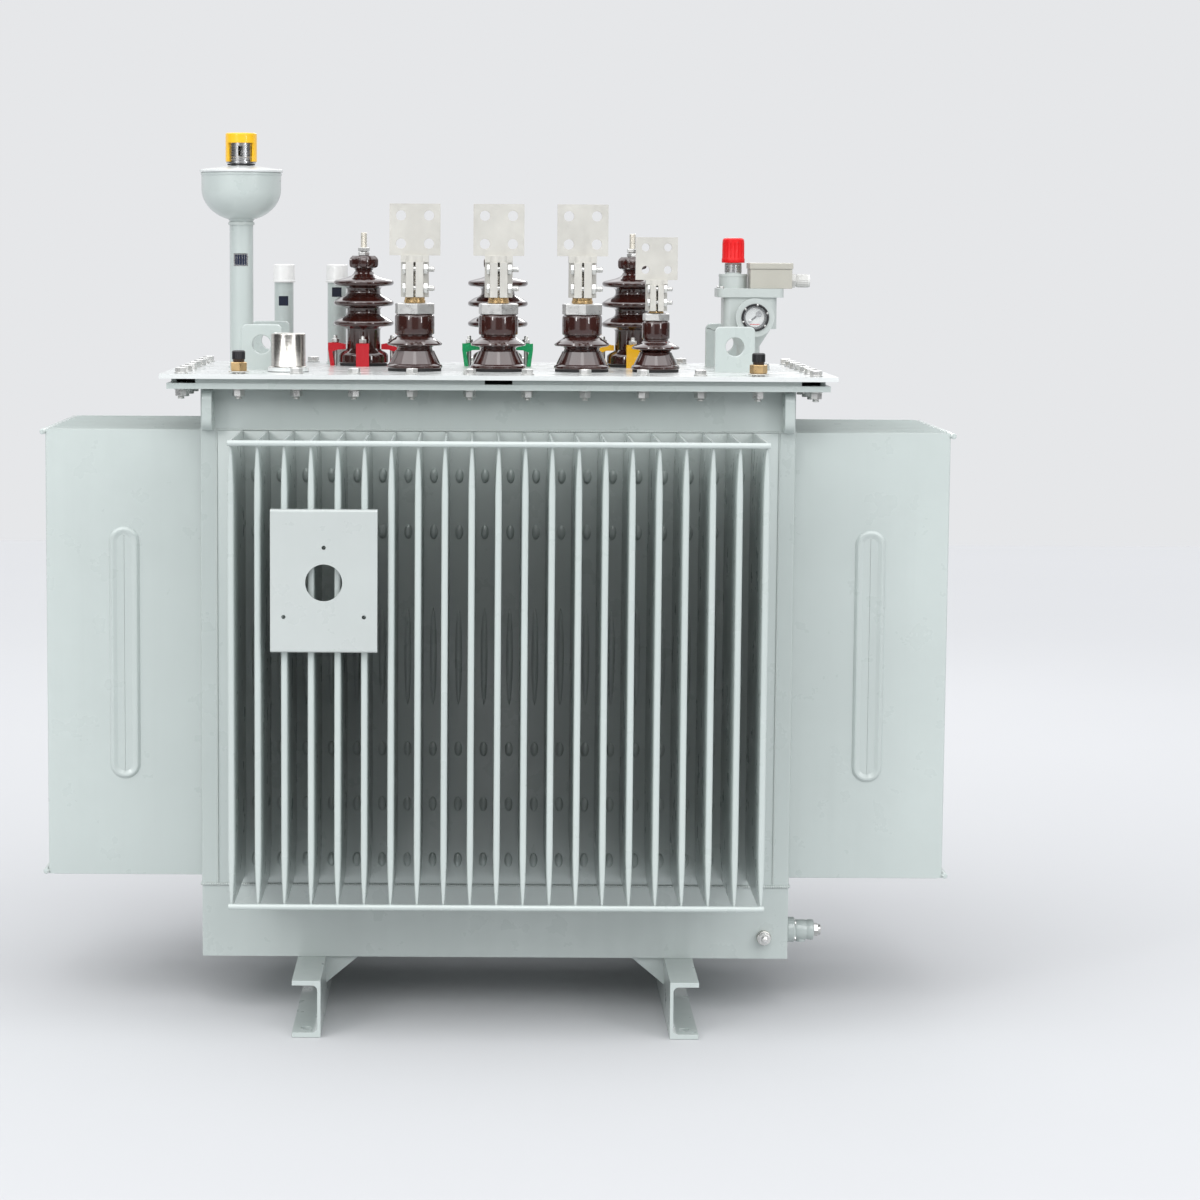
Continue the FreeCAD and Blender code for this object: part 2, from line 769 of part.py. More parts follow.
def lv_clamp(x, y, b):
    """Split barrel with a T-shaped top, two front ears and an upright drilled palm."""
    _, _, barrel, palm = lv_stack(b)
    radius = b["barrel_dia"] / 2
    body = rod(x, y, barrel, b["barrel_dia"], b["barrel_height"])
    ear = radius * clamp_ear_share
    ears = box(x - ear, x + ear, y - radius - clamp_ear_reach, y, barrel, palm - b["palm_thick"])
    crown_y = radius * clamp_crown_share
    crown = box(x - radius, x + radius, y - crown_y, y + crown_y, palm - b["palm_thick"], palm)
    half_palm = b["palm_width"] / 2
    plate = box(x - half_palm, x + half_palm, y - b["palm_thick"] / 2, y + b["palm_thick"] / 2, palm,
                palm + b["palm_height"])
    clamp = join([body, ears, crown, plate])
    bore = rod(x, y, barrel, b["stud_dia"] + 2 * clamp_fit, b["barrel_height"] - b["palm_thick"])
    slit = box(x - clamp_slit / 2, x + clamp_slit / 2, y - radius - clamp_ear_reach, y, barrel,
               palm - b["palm_thick"])
    cuts = [bore, slit]
    by = clamp_bolt_y(y, b)
    spot_face = 2 * clamp_nut_flats(b) / math.sqrt(3) + spot_face_play
    for z in (barrel + b["clamp_bolt_low"], barrel + b["clamp_bolt_high"]):
        cuts.append(rod(x - radius, by, z, b["clamp_bolt_dia"] + 2 * nut_clearance, 2 * radius,
                        Vector(1, 0, 0)))
        cuts.append(rod(x + ear, by, z, spot_face, radius, Vector(1, 0, 0)))
        cuts.append(rod(x - ear, by, z, spot_face, radius, Vector(-1, 0, 0)))
    middle = palm + b["palm_height"] / 2
    for dx in (-1, 1):
        for dz in (-1, 1):
            cuts.append(rod(x + dx * b["palm_pitch"] / 2, y - b["palm_thick"] / 2,
                            middle + dz * b["palm_pitch"] / 2, b["palm_hole_dia"], b["palm_thick"],
                            Vector(0, 1, 0)))
    return clamp.cut(cuts)


def clamp_bolt_y(y, b):
    return y - (b["stud_dia"] / 2 + b["clamp_bolt_dia"] / 2 + clamp_bolt_cover)


def clamp_nut_flats(b):
    return b["clamp_bolt_dia"] * clamp_flats_share


def lv_clamp_bolts():
    solids = []
    for x, y, b in bushing_places():
        _, _, barrel, _ = lv_stack(b)
        half = b["barrel_dia"] / 2 * clamp_ear_share
        dia = b["clamp_bolt_dia"]
        flats = clamp_nut_flats(b)
        by = clamp_bolt_y(y, b)
        axis = Vector(1, 0, 0)
        for z in (barrel + b["clamp_bolt_low"], barrel + b["clamp_bolt_high"]):
            head_height = dia * clamp_head_share
            head = hexagon(x - half - head_height, by, z, flats, head_height, axis)
            shank = rod(x - half, by, z, dia, 2 * half + dia * clamp_bolt_tail, axis)
            solids.append(join([head, shank]))
            solids.append(hexagon(x + half, by, z, flats, dia * clamp_nut_share, axis,
                                  dia + 2 * nut_clearance))
    return solids


def terminal_studs():
    studs = []
    for x, y, b in bushing_places():
        _, _, barrel, palm = lv_stack(b)
        low = seat_z - b["below"] - stud_tail
        top = palm - b["palm_thick"]
        studs.append(rod(x, y, low, b["stud_dia"], top - low))
    for x, y in hv_places():
        low = seat_z - hv_below - stud_tail
        top = seat_z + hv_neck_top + hv_head_height + hv_stud_above
        stud = rod(x, y, low, hv_stud_dia, top - low)
        groove_z = seat_z + hv_neck_top + hv_head_height + 2 * hv_nut_height
        studs.append(stud.cut(pipe(x, y, groove_z, hv_stud_dia + 1, hv_stud_groove_dia, hv_stud_groove)))
    return studs


def terminal_nuts():
    nuts = []
    for x, y, b in bushing_places():
        nut, _, _, _ = lv_stack(b)
        nuts.append(hexagon(x, y, nut, b["nut_flats"], b["nut_height"], UP,
                            b["stud_dia"] + 2 * nut_clearance))
    for x, y in hv_places():
        z = seat_z + hv_neck_top + hv_head_height
        for i in range(2):
            nuts.append(hexagon(x, y, z + i * hv_nut_height, bolt_head_flats, hv_nut_height - hv_nut_gap, UP,
                                hv_stud_dia + 2 * nut_clearance))
    return nuts


def lv_brass_rings():
    rings = []
    for x, y, b in bushing_places():
        _, ring, _, _ = lv_stack(b)
        rings.append(pipe(x, y, ring, b["ring_dia"], b["stud_dia"] + 2 * nut_clearance, b["ring_height"]))
    return rings


def bushing_gaskets():
    rings = []
    for x, y, b in bushing_places():
        rings.append(pipe(x, y, cover_top, b["base_dia"] - 4, b["waist_dia"] + 2 * bushing_fit,
                          bushing_gasket_thick))
    for x, y in hv_places():
        rings.append(pipe(x, y, cover_top, hv_base_dia - 4, hv_body_dia + 2 * bushing_fit,
                          bushing_gasket_thick))
    return rings


def hv_porcelain(x, y):
    bore = hv_stud_dia / 2 + stud_fit
    body = hv_body_dia / 2
    shed = hv_shed_dia / 2
    base = hv_base_dia / 2
    neck = hv_neck_dia / 2
    head = hv_head_dia / 2
    outline = [(bore, -hv_below), (body - 8, -hv_below), (body - 1, -hv_below + 8), (body - 1, 0),
               (base, 0), (base, hv_base_height - 6), (base - 6, hv_base_height), (body, hv_base_height + 4)]
    for i in range(hv_shed_count):
        edge = hv_first_shed + i * hv_shed_pitch
        upper = body if i < hv_shed_count - 1 else neck
        outline += [(body, edge - 4), (shed - 3, edge - hv_shed_edge / 2), (shed, edge),
                    (shed - 3, edge + hv_shed_edge / 2), (upper + 4, edge + 12), (upper, edge + 16)]
    top = hv_neck_top
    outline += [(neck - 3, top - 4), (head - 4, top), (head, top + 6), (head, top + hv_head_height - 7),
                (head - 6, top + hv_head_height), (bore, top + hv_head_height)]
    solid = turned(x, y, seat_z, outline)
    notches = []
    step = 360.0 / hv_notches
    for i in range(hv_notches):
        angle = math.radians(step * (i + 0.5))
        r = head + hv_notch_out
        notches.append(rod(x + r * math.cos(angle), y + r * math.sin(angle), seat_z + top, hv_notch_dia,
                           hv_head_height))
    return solid.cut(notches)


def hv_claw(x, y, angle):
    """Hold-down claw for a flange whose centre is x, y, lying along +X and then turned."""
    edge = hv_base_dia / 2
    flange_top_z = seat_z + hv_base_height
    r0 = edge - claw_reach
    r1 = edge + claw_outer
    arm_low = flange_top_z + claw_lift
    points = [Vector(r0, 0, arm_low), Vector(r0, 0, arm_low + claw_arm * claw_tip_share),
              Vector(edge, 0, arm_low + claw_arm), Vector(r1, 0, arm_low + claw_arm),
              Vector(r1, 0, arm_low), Vector(r1 - 4, 0, cover_top), Vector(r1 - claw_leg, 0, cover_top),
              Vector(r1 - 8, 0, arm_low - 4), Vector(edge + 1, 0, arm_low - 0.5)]
    shifted = [Vector(p.x, -claw_width / 2, p.z) for p in points]
    claw = prism(shifted, Vector(0, claw_width, 0))
    stud_r = edge + claw_stud_offset
    top = arm_low + claw_arm
    claw = claw.cut(rod(stud_r, 0, cover_top, claw_stud_dia + claw_stud_play, top - cover_top))
    claw.rotate(Vector(0, 0, 0), UP, angle)
    claw.translate(Vector(x, y, 0))
    return claw


def hv_claws(index):
    x, y = hv_places()[index]
    return [hv_claw(x, y, angle) for _, _, angle in claw_places(x, y)]


def hv_claw_bolts():
    solids = []
    top = seat_z + hv_base_height + claw_lift + claw_arm
    for x, y in hv_places():
        for sx, sy, _ in claw_places(x, y):
            length = top - cover_top + claw_nut_height + claw_stud_end
            solids.append(rod(sx, sy, cover_top, claw_stud_dia, length))
            solids.append(hexagon(sx, sy, top, claw_nut_flats, claw_nut_height, UP,
                                  claw_stud_dia + 2 * nut_clearance))
    return solids


def window_seat(inner, width):
    """Distance from a pipe's axis to the back of a flat glass of this width set in its wall."""
    return math.sqrt((inner / 2) ** 2 - (width / 2) ** 2)


def front_window(x, y, z, dia, inner, width, height):
    """Box that cuts a window through the front of a pipe."""
    return box(x - width / 2, x + width / 2, y - dia / 2 - 1, y - window_seat(inner, width),
               z - height / 2, z + height / 2)


def filler_pipe():
    inner = filler_dia - 2 * filler_wall
    tube = pipe(filler_x, filler_y, cover_top, filler_dia, inner, filler_height)
    cut = front_window(filler_x, filler_y, cover_top + filler_window_height, filler_dia, inner,
                       window_width, window_height)
    return [tube.cut(cut)]


def cup_levels():
    neck = cover_top + filler_height
    shoulder = neck + cup_bowl_depth
    rim = shoulder + cup_straight
    return neck, shoulder, rim


def oil_cup():
    """Bowl with a straight upper wall over a half-round bottom that meets the pipe."""
    neck, shoulder, rim = cup_levels()
    outer = cup_dia / 2
    inner = outer - cup_wall
    pipe_r = filler_dia / 2 - filler_wall
    drop = shoulder - neck
    outside = []
    inside = []
    for i in range(cup_bowl_steps + 1):
        t = math.pi / 2 * i / cup_bowl_steps
        outside.append((outer * math.cos(t), -drop * math.sin(t)))
        inside.append((inner * math.cos(t), -(drop - cup_wall) * math.sin(t)))
    outside = [p for p in outside if p[0] > filler_dia / 2] + [(filler_dia / 2, -drop)]
    inside = [p for p in inside if p[0] > pipe_r + 3] + [(pipe_r, -(drop - cup_wall))]
    outline = [(outer, cup_straight)] + outside + [(pipe_r, -drop)] + inside[::-1] + [(inner, cup_straight)]
    return [turned(filler_x, filler_y, shoulder, outline)]


def oil_cup_lid():
    _, _, rim = cup_levels()
    r = lid_dia / 2
    hole = valve_neck_dia / 2 - valve_wall
    spigot = cup_dia / 2 - cup_wall - cap_play
    outline = [(hole, 0), (hole, lid_rise + lid_edge), (valve_neck_dia / 2, lid_rise + lid_edge),
               (r - 2, lid_edge), (r, lid_edge - 2), (r, 0), (spigot, 0),
               (spigot, -lid_spigot_depth), (spigot - lid_spigot_wall, -lid_spigot_depth),
               (spigot - lid_spigot_wall, 0)]
    return [turned(filler_x, filler_y, rim, outline)]


def valve_levels():
    _, _, rim = cup_levels()
    seat = rim + lid_edge + lid_rise
    body = seat + valve_neck_height
    top = body + valve_height
    return seat, body, top


def relief_valve_body():
    """Ported body on a neck, with the thin flange that the cap stands on."""
    seat, body, top = valve_levels()
    hollow = valve_dia - 2 * valve_wall
    neck = pipe(filler_x, filler_y, seat, valve_neck_dia, valve_port_dia, valve_neck_height)
    floor = pipe(filler_x, filler_y, body, valve_dia, valve_port_dia, valve_wall)
    shell = pipe(filler_x, filler_y, body + valve_wall, valve_dia, hollow, valve_height - 2 * valve_wall)
    roof = pipe(filler_x, filler_y, top - valve_wall, valve_dia, valve_stem_dia + 2 * valve_stem_fit,
                valve_wall)
    flange = pipe(filler_x, filler_y, body - valve_flange_thick, valve_flange_dia, valve_port_dia,
                  valve_flange_thick)
    solid = join([neck, flange, floor, shell, roof])
    slots = []
    step = 360.0 / valve_slots
    half = valve_slot_width / 2
    for i in range(valve_slots):
        slot = box(0, valve_dia, -half, half, body + valve_slot_low, top - valve_slot_high)
        slot.rotate(Vector(0, 0, 0), UP, step * (i + 0.5))
        slot.translate(Vector(filler_x, filler_y, 0))
        slots.append(slot)
    return [solid.cut(slots)]


def relief_valve_spring():
    """Coil spring between the disc and the roof of the valve body."""
    _, body, top = valve_levels()
    z0 = body + valve_wall + seat_gap + valve_disc_thick + spring_wire / 2 + spring_end_gap
    length = top - valve_wall - spring_wire / 2 - spring_end_gap - z0
    helix = Part.makeHelix(length / spring_turns, length, spring_dia / 2)
    profile = Part.Wire([Part.makeCircle(spring_wire / 2, Vector(spring_dia / 2, 0, 0), Vector(0, 1, 0))])
    spring = Part.Wire(helix).makePipeShell([profile], True, True)
    spring.translate(Vector(filler_x, filler_y, z0))
    return [spring]


def relief_valve_stem():
    _, body, top = valve_levels()
    low = body + valve_wall + seat_gap
    disc = rod(filler_x, filler_y, low, valve_disc_dia, valve_disc_thick)
    stem = rod(filler_x, filler_y, low, valve_stem_dia, top - low)
    return [join([disc, stem])]


def relief_valve_cap():
    """Cup-shaped cap over the valve, open at the front so that the ports show."""
    _, body, top = valve_levels()
    z_top = body + valve_cap_height
    inner = valve_dia + 2 * cap_play
    low = body + seat_gap
    shell = rod(filler_x, filler_y, low, valve_cap_dia, z_top - low)
    hollow = rod(filler_x, filler_y, body, inner, top - body + valve_lift + valve_cap_headroom)
    cap = shell.cut(hollow)
    half = valve_cap_cut_angle / 2
    reach = valve_cap_dia
    left = Vector(-reach * math.sin(math.radians(half)), -reach * math.cos(math.radians(half)), 0)
    right = Vector(-left.x, left.y, 0)
    points = [Vector(0, 0, 0), left, Vector(0, -2 * reach, 0), right]
    wedge = prism(points, Vector(0, 0, valve_cap_cut_height))
    wedge.translate(Vector(filler_x, filler_y, body))
    cap = cap.cut(wedge)
    edges = [e for e in cap.Edges if abs(e.BoundBox.ZMin - z_top) < 0.01]
    return [cap.makeFillet(cap_corner, edges)]


def gauge_tubes():
    inner = gauge_dia - 2 * gauge_wall
    tubes = []
    for x, height in zip(gauge_x, gauge_window_height):
        tube = pipe(x, gauge_y, cover_top, gauge_dia, inner, gauge_height)
        cut = front_window(x, gauge_y, cover_top + height, gauge_dia, inner, gauge_window_width,
                           gauge_window_tall)
        tubes.append(tube.cut(cut))
    return tubes


def gauge_cap(x):
    z1 = cover_top + gauge_height + seat_gap + gauge_cap_cover
    z0 = z1 - gauge_cap_height
    cap = rod(x, gauge_y, z0, gauge_cap_dia, gauge_cap_height)
    cap = cap.cut(rod(x, gauge_y, z0, gauge_dia + 2 * cap_play, gauge_cap_height - gauge_cap_cover))
    edges = [e for e in cap.Edges if abs(e.BoundBox.ZMin - z1) < 0.01]
    return [cap.makeFillet(gauge_cap_corner, edges)]


def sight_windows():
    """Flat glasses set in the window openings of the filler and the gauge tubes."""
    panes = []
    sets = [(filler_x, filler_y, filler_dia, filler_wall, filler_window_height, window_width,
             window_height)]
    for x, height in zip(gauge_x, gauge_window_height):
        sets.append((x, gauge_y, gauge_dia, gauge_wall, height, gauge_window_width, gauge_window_tall))
    for x, y, dia, thick, height, width, tall in sets:
        half = width / 2
        y0 = y - window_seat(dia - 2 * thick, width) - window_thick
        panes.append(box(x - half, x + half, y0, y0 + window_thick, cover_top + height - tall / 2,
                         cover_top + height + tall / 2))
    return panes


def tap_levels():
    base_top = cover_top + tap_base_thick
    boss_top = base_top + tap_boss_height
    return base_top, boss_top


def tap_changer_base():
    base_top, boss_top = tap_levels()
    flange = rod(tap_x, tap_y, cover_top, tap_base_dia, tap_base_thick)
    spigot = rod(tap_x, tap_y, base_top, tap_cap_dia - 2 * tap_cap_wall - 2 * cap_play, tap_spigot_height)
    low = cover_bottom - tap_boss_below
    boss = rod(tap_x, tap_y, low, tap_boss_dia, boss_top - low)
    solid = join([flange, spigot, boss])
    bore = rod(tap_x, tap_y, low, tap_shaft_dia + 2 * tap_running_fit, boss_top - low)
    return [solid.cut(bore)]


def tap_changer_cap():
    base_top, _ = tap_levels()
    low = base_top + seat_gap
    outer = rod(tap_x, tap_y, low, tap_cap_dia, tap_cap_height)
    edges = [e for e in outer.Edges if abs(e.BoundBox.ZMin - low - tap_cap_height) < 0.01]
    outer = outer.makeFillet(cap_corner, edges)
    inner = rod(tap_x, tap_y, low, tap_cap_dia - 2 * tap_cap_wall, tap_cap_height - tap_cap_wall)
    return [outer.cut(inner)]


def tap_switch_levels():
    top = cover_bottom - tap_boss_below
    return top - tap_switch_height, top


def tap_changer_knob():
    """Knob, shaft and switch wiper, which turn together."""
    _, boss_top = tap_levels()
    low, _ = tap_switch_levels()
    wiper_z = low + tap_switch_height * tap_wiper_share
    disc = rod(tap_x, tap_y, boss_top + tap_running_gap, tap_knob_dia, tap_knob_height - tap_grip_height)
    grip = box(tap_x - tap_grip_width / 2, tap_x + tap_grip_width / 2, tap_y - tap_knob_dia / 2 + 1,
               tap_y + tap_knob_dia / 2 - 1, boss_top + tap_running_gap,
               boss_top + tap_running_gap + tap_knob_height)
    shaft = rod(tap_x, tap_y, wiper_z, tap_shaft_dia, boss_top - wiper_z + 2.0)
    reach = tap_switch_dia / 2 - tap_switch_wall - tap_contact_dia / 2 - 1.0
    wiper = box(tap_x - tap_wiper_width / 2, tap_x + tap_wiper_width / 2, tap_y - reach, tap_y, wiper_z,
                wiper_z + tap_wiper_thick)
    return [join([disc, grip, shaft, wiper])]


def tap_changer_switch():
    """Insulating tube hung under the cover with its fixed contacts."""
    low, high = tap_switch_levels()
    inner = tap_switch_dia - 2 * tap_switch_wall
    tube = pipe(tap_x, tap_y, low, tap_switch_dia, inner, tap_switch_height)
    roof = pipe(tap_x, tap_y, high - tap_roof_thick, tap_switch_dia, tap_shaft_dia + 2 * tap_roof_play,
                tap_roof_thick)
    solid = join([tube, roof])
    wiper_z = low + tap_switch_height * tap_wiper_share
    contacts = []
    for i in range(tap_contacts):
        angle = math.radians(-90 + (i - (tap_contacts - 1) / 2) * tap_step_angle)
        r = inner / 2 - 1.0
        x = tap_x + r * math.cos(angle)
        y = tap_y + r * math.sin(angle)
        contacts.append(rod(x, y, wiper_z - 6, tap_contact_dia * 0.8, 16.0))
    return [join([solid] + contacts)]


def relay_body():
    """Cast chamber on a tapered neck with a foot flange and a round window boss."""
    x0 = relay_x - relay_width / 2
    x1 = relay_x + relay_width / 2
    y0 = relay_y - relay_depth / 2
    y1 = relay_y + relay_depth / 2
    z0 = cover_top + relay_body_bottom
    z1 = cover_top + relay_body_top
    neck_z = cover_top + relay_neck_top
    chamber = box(x0, x1, y0, y1, z0, z1)
    edges = [e for e in chamber.Edges if e.BoundBox.ZLength > 1]
    chamber = chamber.makeFillet(relay_corner, edges)
    low = Part.makeCircle(relay_neck_dia / 2, Vector(relay_x, relay_y, neck_z))
    high = Part.makeCircle(relay_depth / 2 - 1.0, Vector(relay_x, relay_y, z0))
    taper = Part.makeLoft([Part.Wire([low]), Part.Wire([high])], True)
    neck = rod(relay_x, relay_y, cover_top, relay_neck_dia, relay_neck_top)
    foot = rod(relay_x, relay_y, cover_top, relay_foot_dia, relay_foot_thick)
    wx = relay_x + relay_window_offset
    wz = cover_top + relay_window_height
    boss = rod(wx, y0 - relay_boss_reach, wz, relay_boss_dia, relay_boss_reach + 10.0, Vector(0, 1, 0))
    solid = join([chamber, taper, neck, foot, boss])
    hollow = box(x0 + relay_wall, x1 - relay_wall, y0 + relay_wall, y1 - relay_wall, z0 + relay_wall, z1)
    well = rod(relay_x, relay_y, cover_top, relay_neck_dia - 2 * relay_wall, relay_body_bottom + 10.0)
    port = rod(wx, y0 - relay_boss_reach, wz, relay_ring_dia - 2 * relay_ring_width,
               relay_boss_reach + 12.0, Vector(0, 1, 0))
    return [solid.cut([hollow, well, port])]


def relay_top_levels():
    plate = cover_top + relay_body_top
    deck = plate + relay_plate_thick
    return plate, deck


def relay_cover():
    """Top plate, gas valve turret and the guide pin of the float."""
    plate_z, deck = relay_top_levels()
    half = relay_plate_length / 2
    deep = relay_plate_depth / 2
    plate = box(relay_x - half, relay_x + half, relay_y - deep, relay_y + deep, plate_z, deck)
    edges = [e for e in plate.Edges if e.BoundBox.ZLength > 1]
    plate = plate.makeFillet(relay_plate_corner, edges)
    tx = relay_x + relay_turret_x
    turret = rod(tx, relay_y, deck, relay_turret_dia, relay_turret_height)
    valve = rod(tx, relay_y, deck + relay_turret_height, relay_valve_dia, relay_valve_height)
    stem = rod(tx, relay_y, deck + relay_turret_height + relay_valve_height, relay_stem_dia,
               relay_stem_height)
    pin_length = plate_z - (cover_top + relay_body_bottom + relay_wall)
    pin = rod(relay_x, relay_y, plate_z - pin_length, float_pin_dia, pin_length)
    return [join([plate, turret, valve, stem, pin])]


def relay_valve_cap():
    _, deck = relay_top_levels()
    z0 = deck + relay_turret_height + relay_valve_height + seat_gap
    tx = relay_x + relay_turret_x
    cap = rod(tx, relay_y, z0, relay_cap_dia, relay_cap_height)
    edges = [e for e in cap.Edges if abs(e.BoundBox.ZMin - z0 - relay_cap_height) < 0.01]
    cap = cap.makeFillet(cap_corner, edges)
    bore = relay_stem_dia + 2 * cap_play
    return [cap.cut(rod(tx, relay_y, z0, bore, relay_stem_height + seat_gap))]


def relay_window():
    """Glass disc and its screwed ring in the front boss, as two solids."""
    wx = relay_x + relay_window_offset
    wz = cover_top + relay_window_height
    y_face = relay_y - relay_depth / 2 - relay_boss_reach
    bore = relay_ring_dia - 2 * relay_ring_width
    ring = pipe(wx, y_face - relay_ring_reach, wz, relay_ring_dia, bore, relay_ring_reach, Vector(0, 1, 0))
    glass = rod(wx, y_face, wz, bore, relay_glass_thick, Vector(0, 1, 0))
    return [ring, glass]


def relay_float():
    z = cover_top + relay_body_top - float_top_gap - float_length
    body = rod(relay_x, relay_y, z, float_dia, float_length)
    bore = rod(relay_x, relay_y, z, float_pin_dia + 2 * float_pin_fit, float_length)
    return [body.cut(bore)]


def junction_levels():
    _, deck = relay_top_levels()
    return deck, deck + box_height


def junction_box():
    z0, z1 = junction_levels()
    cx = relay_x + box_x
    outer = box(cx - box_length / 2, cx + box_length / 2, relay_y - box_depth / 2, relay_y + box_depth / 2,
                z0, z1)
    inner = box(cx - box_length / 2 + box_wall, cx + box_length / 2 - box_wall,
                relay_y - box_depth / 2 + box_wall, relay_y + box_depth / 2 - box_wall, z0 + box_wall, z1)
    hole = rod(cx + box_length / 2 - box_wall, relay_y, z0 + gland_height,
               gland_thread_dia + 2 * gland_play, box_wall, Vector(1, 0, 0))
    half = terminal_block_half
    deep = terminal_block_depth / 2
    low = z0 + box_wall
    block = box(cx - half, cx + half, relay_y - deep, relay_y + deep, low, low + terminal_block_height)
    return [outer.cut([inner, hole]), block]


def junction_box_lid():
    z1 = junction_levels()[1] + seat_gap
    cx = relay_x + box_x
    half_l = box_length / 2 + box_lid_over
    half_d = box_depth / 2 + box_lid_over
    lid = box(cx - half_l, cx + half_l, relay_y - half_d, relay_y + half_d, z1, z1 + box_lid_height)
    edges = [e for e in lid.Edges if abs(e.BoundBox.ZMin - z1 - box_lid_height) < 0.01]
    lid = lid.makeFillet(lid_corner, edges)
    recess_l = box_length / 2 - box_wall
    recess_d = box_depth / 2 - box_wall
    recess = box(cx - recess_l, cx + recess_l, relay_y - recess_d, relay_y + recess_d, z1,
                 z1 + box_lid_height - lid_skin)
    return [lid.cut(recess)]


def cable_gland():
    z0, _ = junction_levels()
    z = z0 + gland_height
    face = relay_x + box_x + box_length / 2
    axis = Vector(1, 0, 0)
    inside = box_wall + gland_thread_in
    thread = rod(face - inside, relay_y, z, gland_thread_dia, inside + 1.0, axis)
    body = hexagon(face, relay_y, z, gland_flats, gland_hex_length, axis)
    nut = rod(face + gland_hex_length, relay_y, z, gland_nut_dia, gland_length - gland_hex_length, axis)
    bore = rod(face - inside, relay_y, z, gland_bore, gland_length + inside, axis)
    return [join([thread, body, nut]).cut(bore)]


def thermometer_plate():
    """Folded plate whose top and bottom returns are welded to the fin tips."""
    y_face = -tip_y - plate_stand_off
    x0 = plate_x - plate_width / 2
    x1 = plate_x + plate_width / 2
    z0 = plate_z - plate_height / 2
    z1 = plate_z + plate_height / 2
    outer = box(x0, x1, y_face, -tip_y, z0, z1)
    edges = [e for e in outer.Edges if e.BoundBox.XLength > 1 and abs(e.BoundBox.YMin - y_face) < 0.01]
    outer = outer.makeFillet(plate_bend, edges)
    inner = box(x0, x1, y_face + plate_thick, -tip_y, z0 + plate_thick, z1 - plate_thick)
    plate = outer.cut(inner)
    hz = plate_z - plate_hole_drop
    holes = [rod(plate_x, y_face, hz, plate_hole_dia, plate_thick, Vector(0, 1, 0))]
    ring_z = hz - plate_pcd_drop
    for i in range(plate_small_holes):
        angle = math.radians(90 + 360.0 / plate_small_holes * i)
        holes.append(rod(plate_x + plate_pcd / 2 * math.cos(angle), y_face,
                         ring_z + plate_pcd / 2 * math.sin(angle), plate_small_hole_dia, plate_thick,
                         Vector(0, 1, 0)))
    return [plate.cut(holes)]


def drain_valve_body():
    axis = Vector(1, 0, 0)
    face = half_x + drain_stub_length
    stub = rod(half_x, drain_y, drain_z, drain_stub_dia, drain_stub_length, axis)
    flange = rod(face, drain_y, drain_z, drain_flange_dia, drain_flange_thick, axis)
    barrel = rod(face + drain_flange_thick, drain_y, drain_z, drain_barrel_dia, drain_barrel_length, axis)
    solid = join([stub, flange, barrel])
    length = drain_end - half_x
    chamber = rod(half_x, drain_y, drain_z, drain_bore, length - drain_neck_length, axis)
    neck = rod(half_x, drain_y, drain_z, drain_spindle_dia + 2 * drain_spindle_fit, length, axis)
    outlet = rod(drain_outlet_x, drain_y, drain_z - drain_barrel_dia / 2, drain_outlet_dia,
                 drain_barrel_dia / 2, UP)
    return [solid.cut([chamber, neck, outlet])]


def drain_valve_plug():
    """Spindle with a sealing head inside the body and a hexagon outside."""
    axis = Vector(1, 0, 0)
    head_x = half_x + drain_head_start
    grip_x = drain_end + drain_spindle_gap
    stem = rod(head_x, drain_y, drain_z, drain_spindle_dia, grip_x - head_x, axis)
    head = rod(head_x, drain_y, drain_z, drain_bore - 2 * drain_spindle_gap, drain_head_length, axis)
    grip = hexagon(grip_x, drain_y, drain_z, drain_spindle_flats, drain_spindle_grip, axis)
    return [join([stem, head, grip])]


def earth_stud():
    axis = Vector(0, -1, 0)
    boss = rod(earth_x, -half_y, earth_z, earth_boss_dia, earth_boss_thick, axis)
    bolt = rod(earth_x, -half_y - earth_boss_thick, earth_z, earth_bolt_dia, earth_bolt_reach, axis)
    washer = pipe(earth_x, -half_y - earth_boss_thick, earth_z, washer_dia,
                  earth_bolt_dia + 2 * nut_clearance, washer_thick, axis)
    head = hexagon(earth_x, -half_y - earth_boss_thick - washer_thick, earth_z, earth_nut_flats,
                   earth_nut_height, axis,
                   earth_bolt_dia + 2 * nut_clearance)
    return [join([boss, bolt]), washer, head]


def bonding_studs():
    solids = []
    for x, y in bonding_places():
        z = cover_top + washer_thick
        bore = bolt_dia + 2 * nut_clearance
        solids.append(pipe(x, y, z, bond_washer_dia, bore, bond_washer_thick))
        solids.append(hexagon(x, y, z + bond_washer_thick, bond_hex_flats, bond_hex_height, UP, bore))
    return solids


def bonding_stud_caps():
    caps = []
    for x, y in bonding_places():
        z = cover_top + washer_thick + bond_washer_thick + bond_hex_height
        ring = pipe(x, y, z, bond_ring_dia, bolt_dia + 2 * nut_clearance, bond_ring_height)
        cap = rod(x, y, z + bond_ring_height, bond_cap_dia, bond_cap_height)
        caps.append(join([ring, cap]))
    return caps


def core_levels():
    low = pan_top + core_lift
    window_low = low + yoke_height
    window_high = window_low + core_window
    top = window_high + yoke_height
    return low, window_low, window_high, top


def limb_centres():
    return (-limb_pitch, 0.0, limb_pitch)


def core():
    """Three-limb stacked core: round limbs between a lower and an upper yoke."""
    low, window_low, window_high, top = core_levels()
    end = limb_pitch + core_end_reach
    yokes = [box(-end, end, -yoke_depth / 2, yoke_depth / 2, low, window_low),
             box(-end, end, -yoke_depth / 2, yoke_depth / 2, window_high, top)]
    limbs = [rod(x, 0, window_low, limb_dia, core_window) for x in limb_centres()]
    return [join(yokes + limbs)]


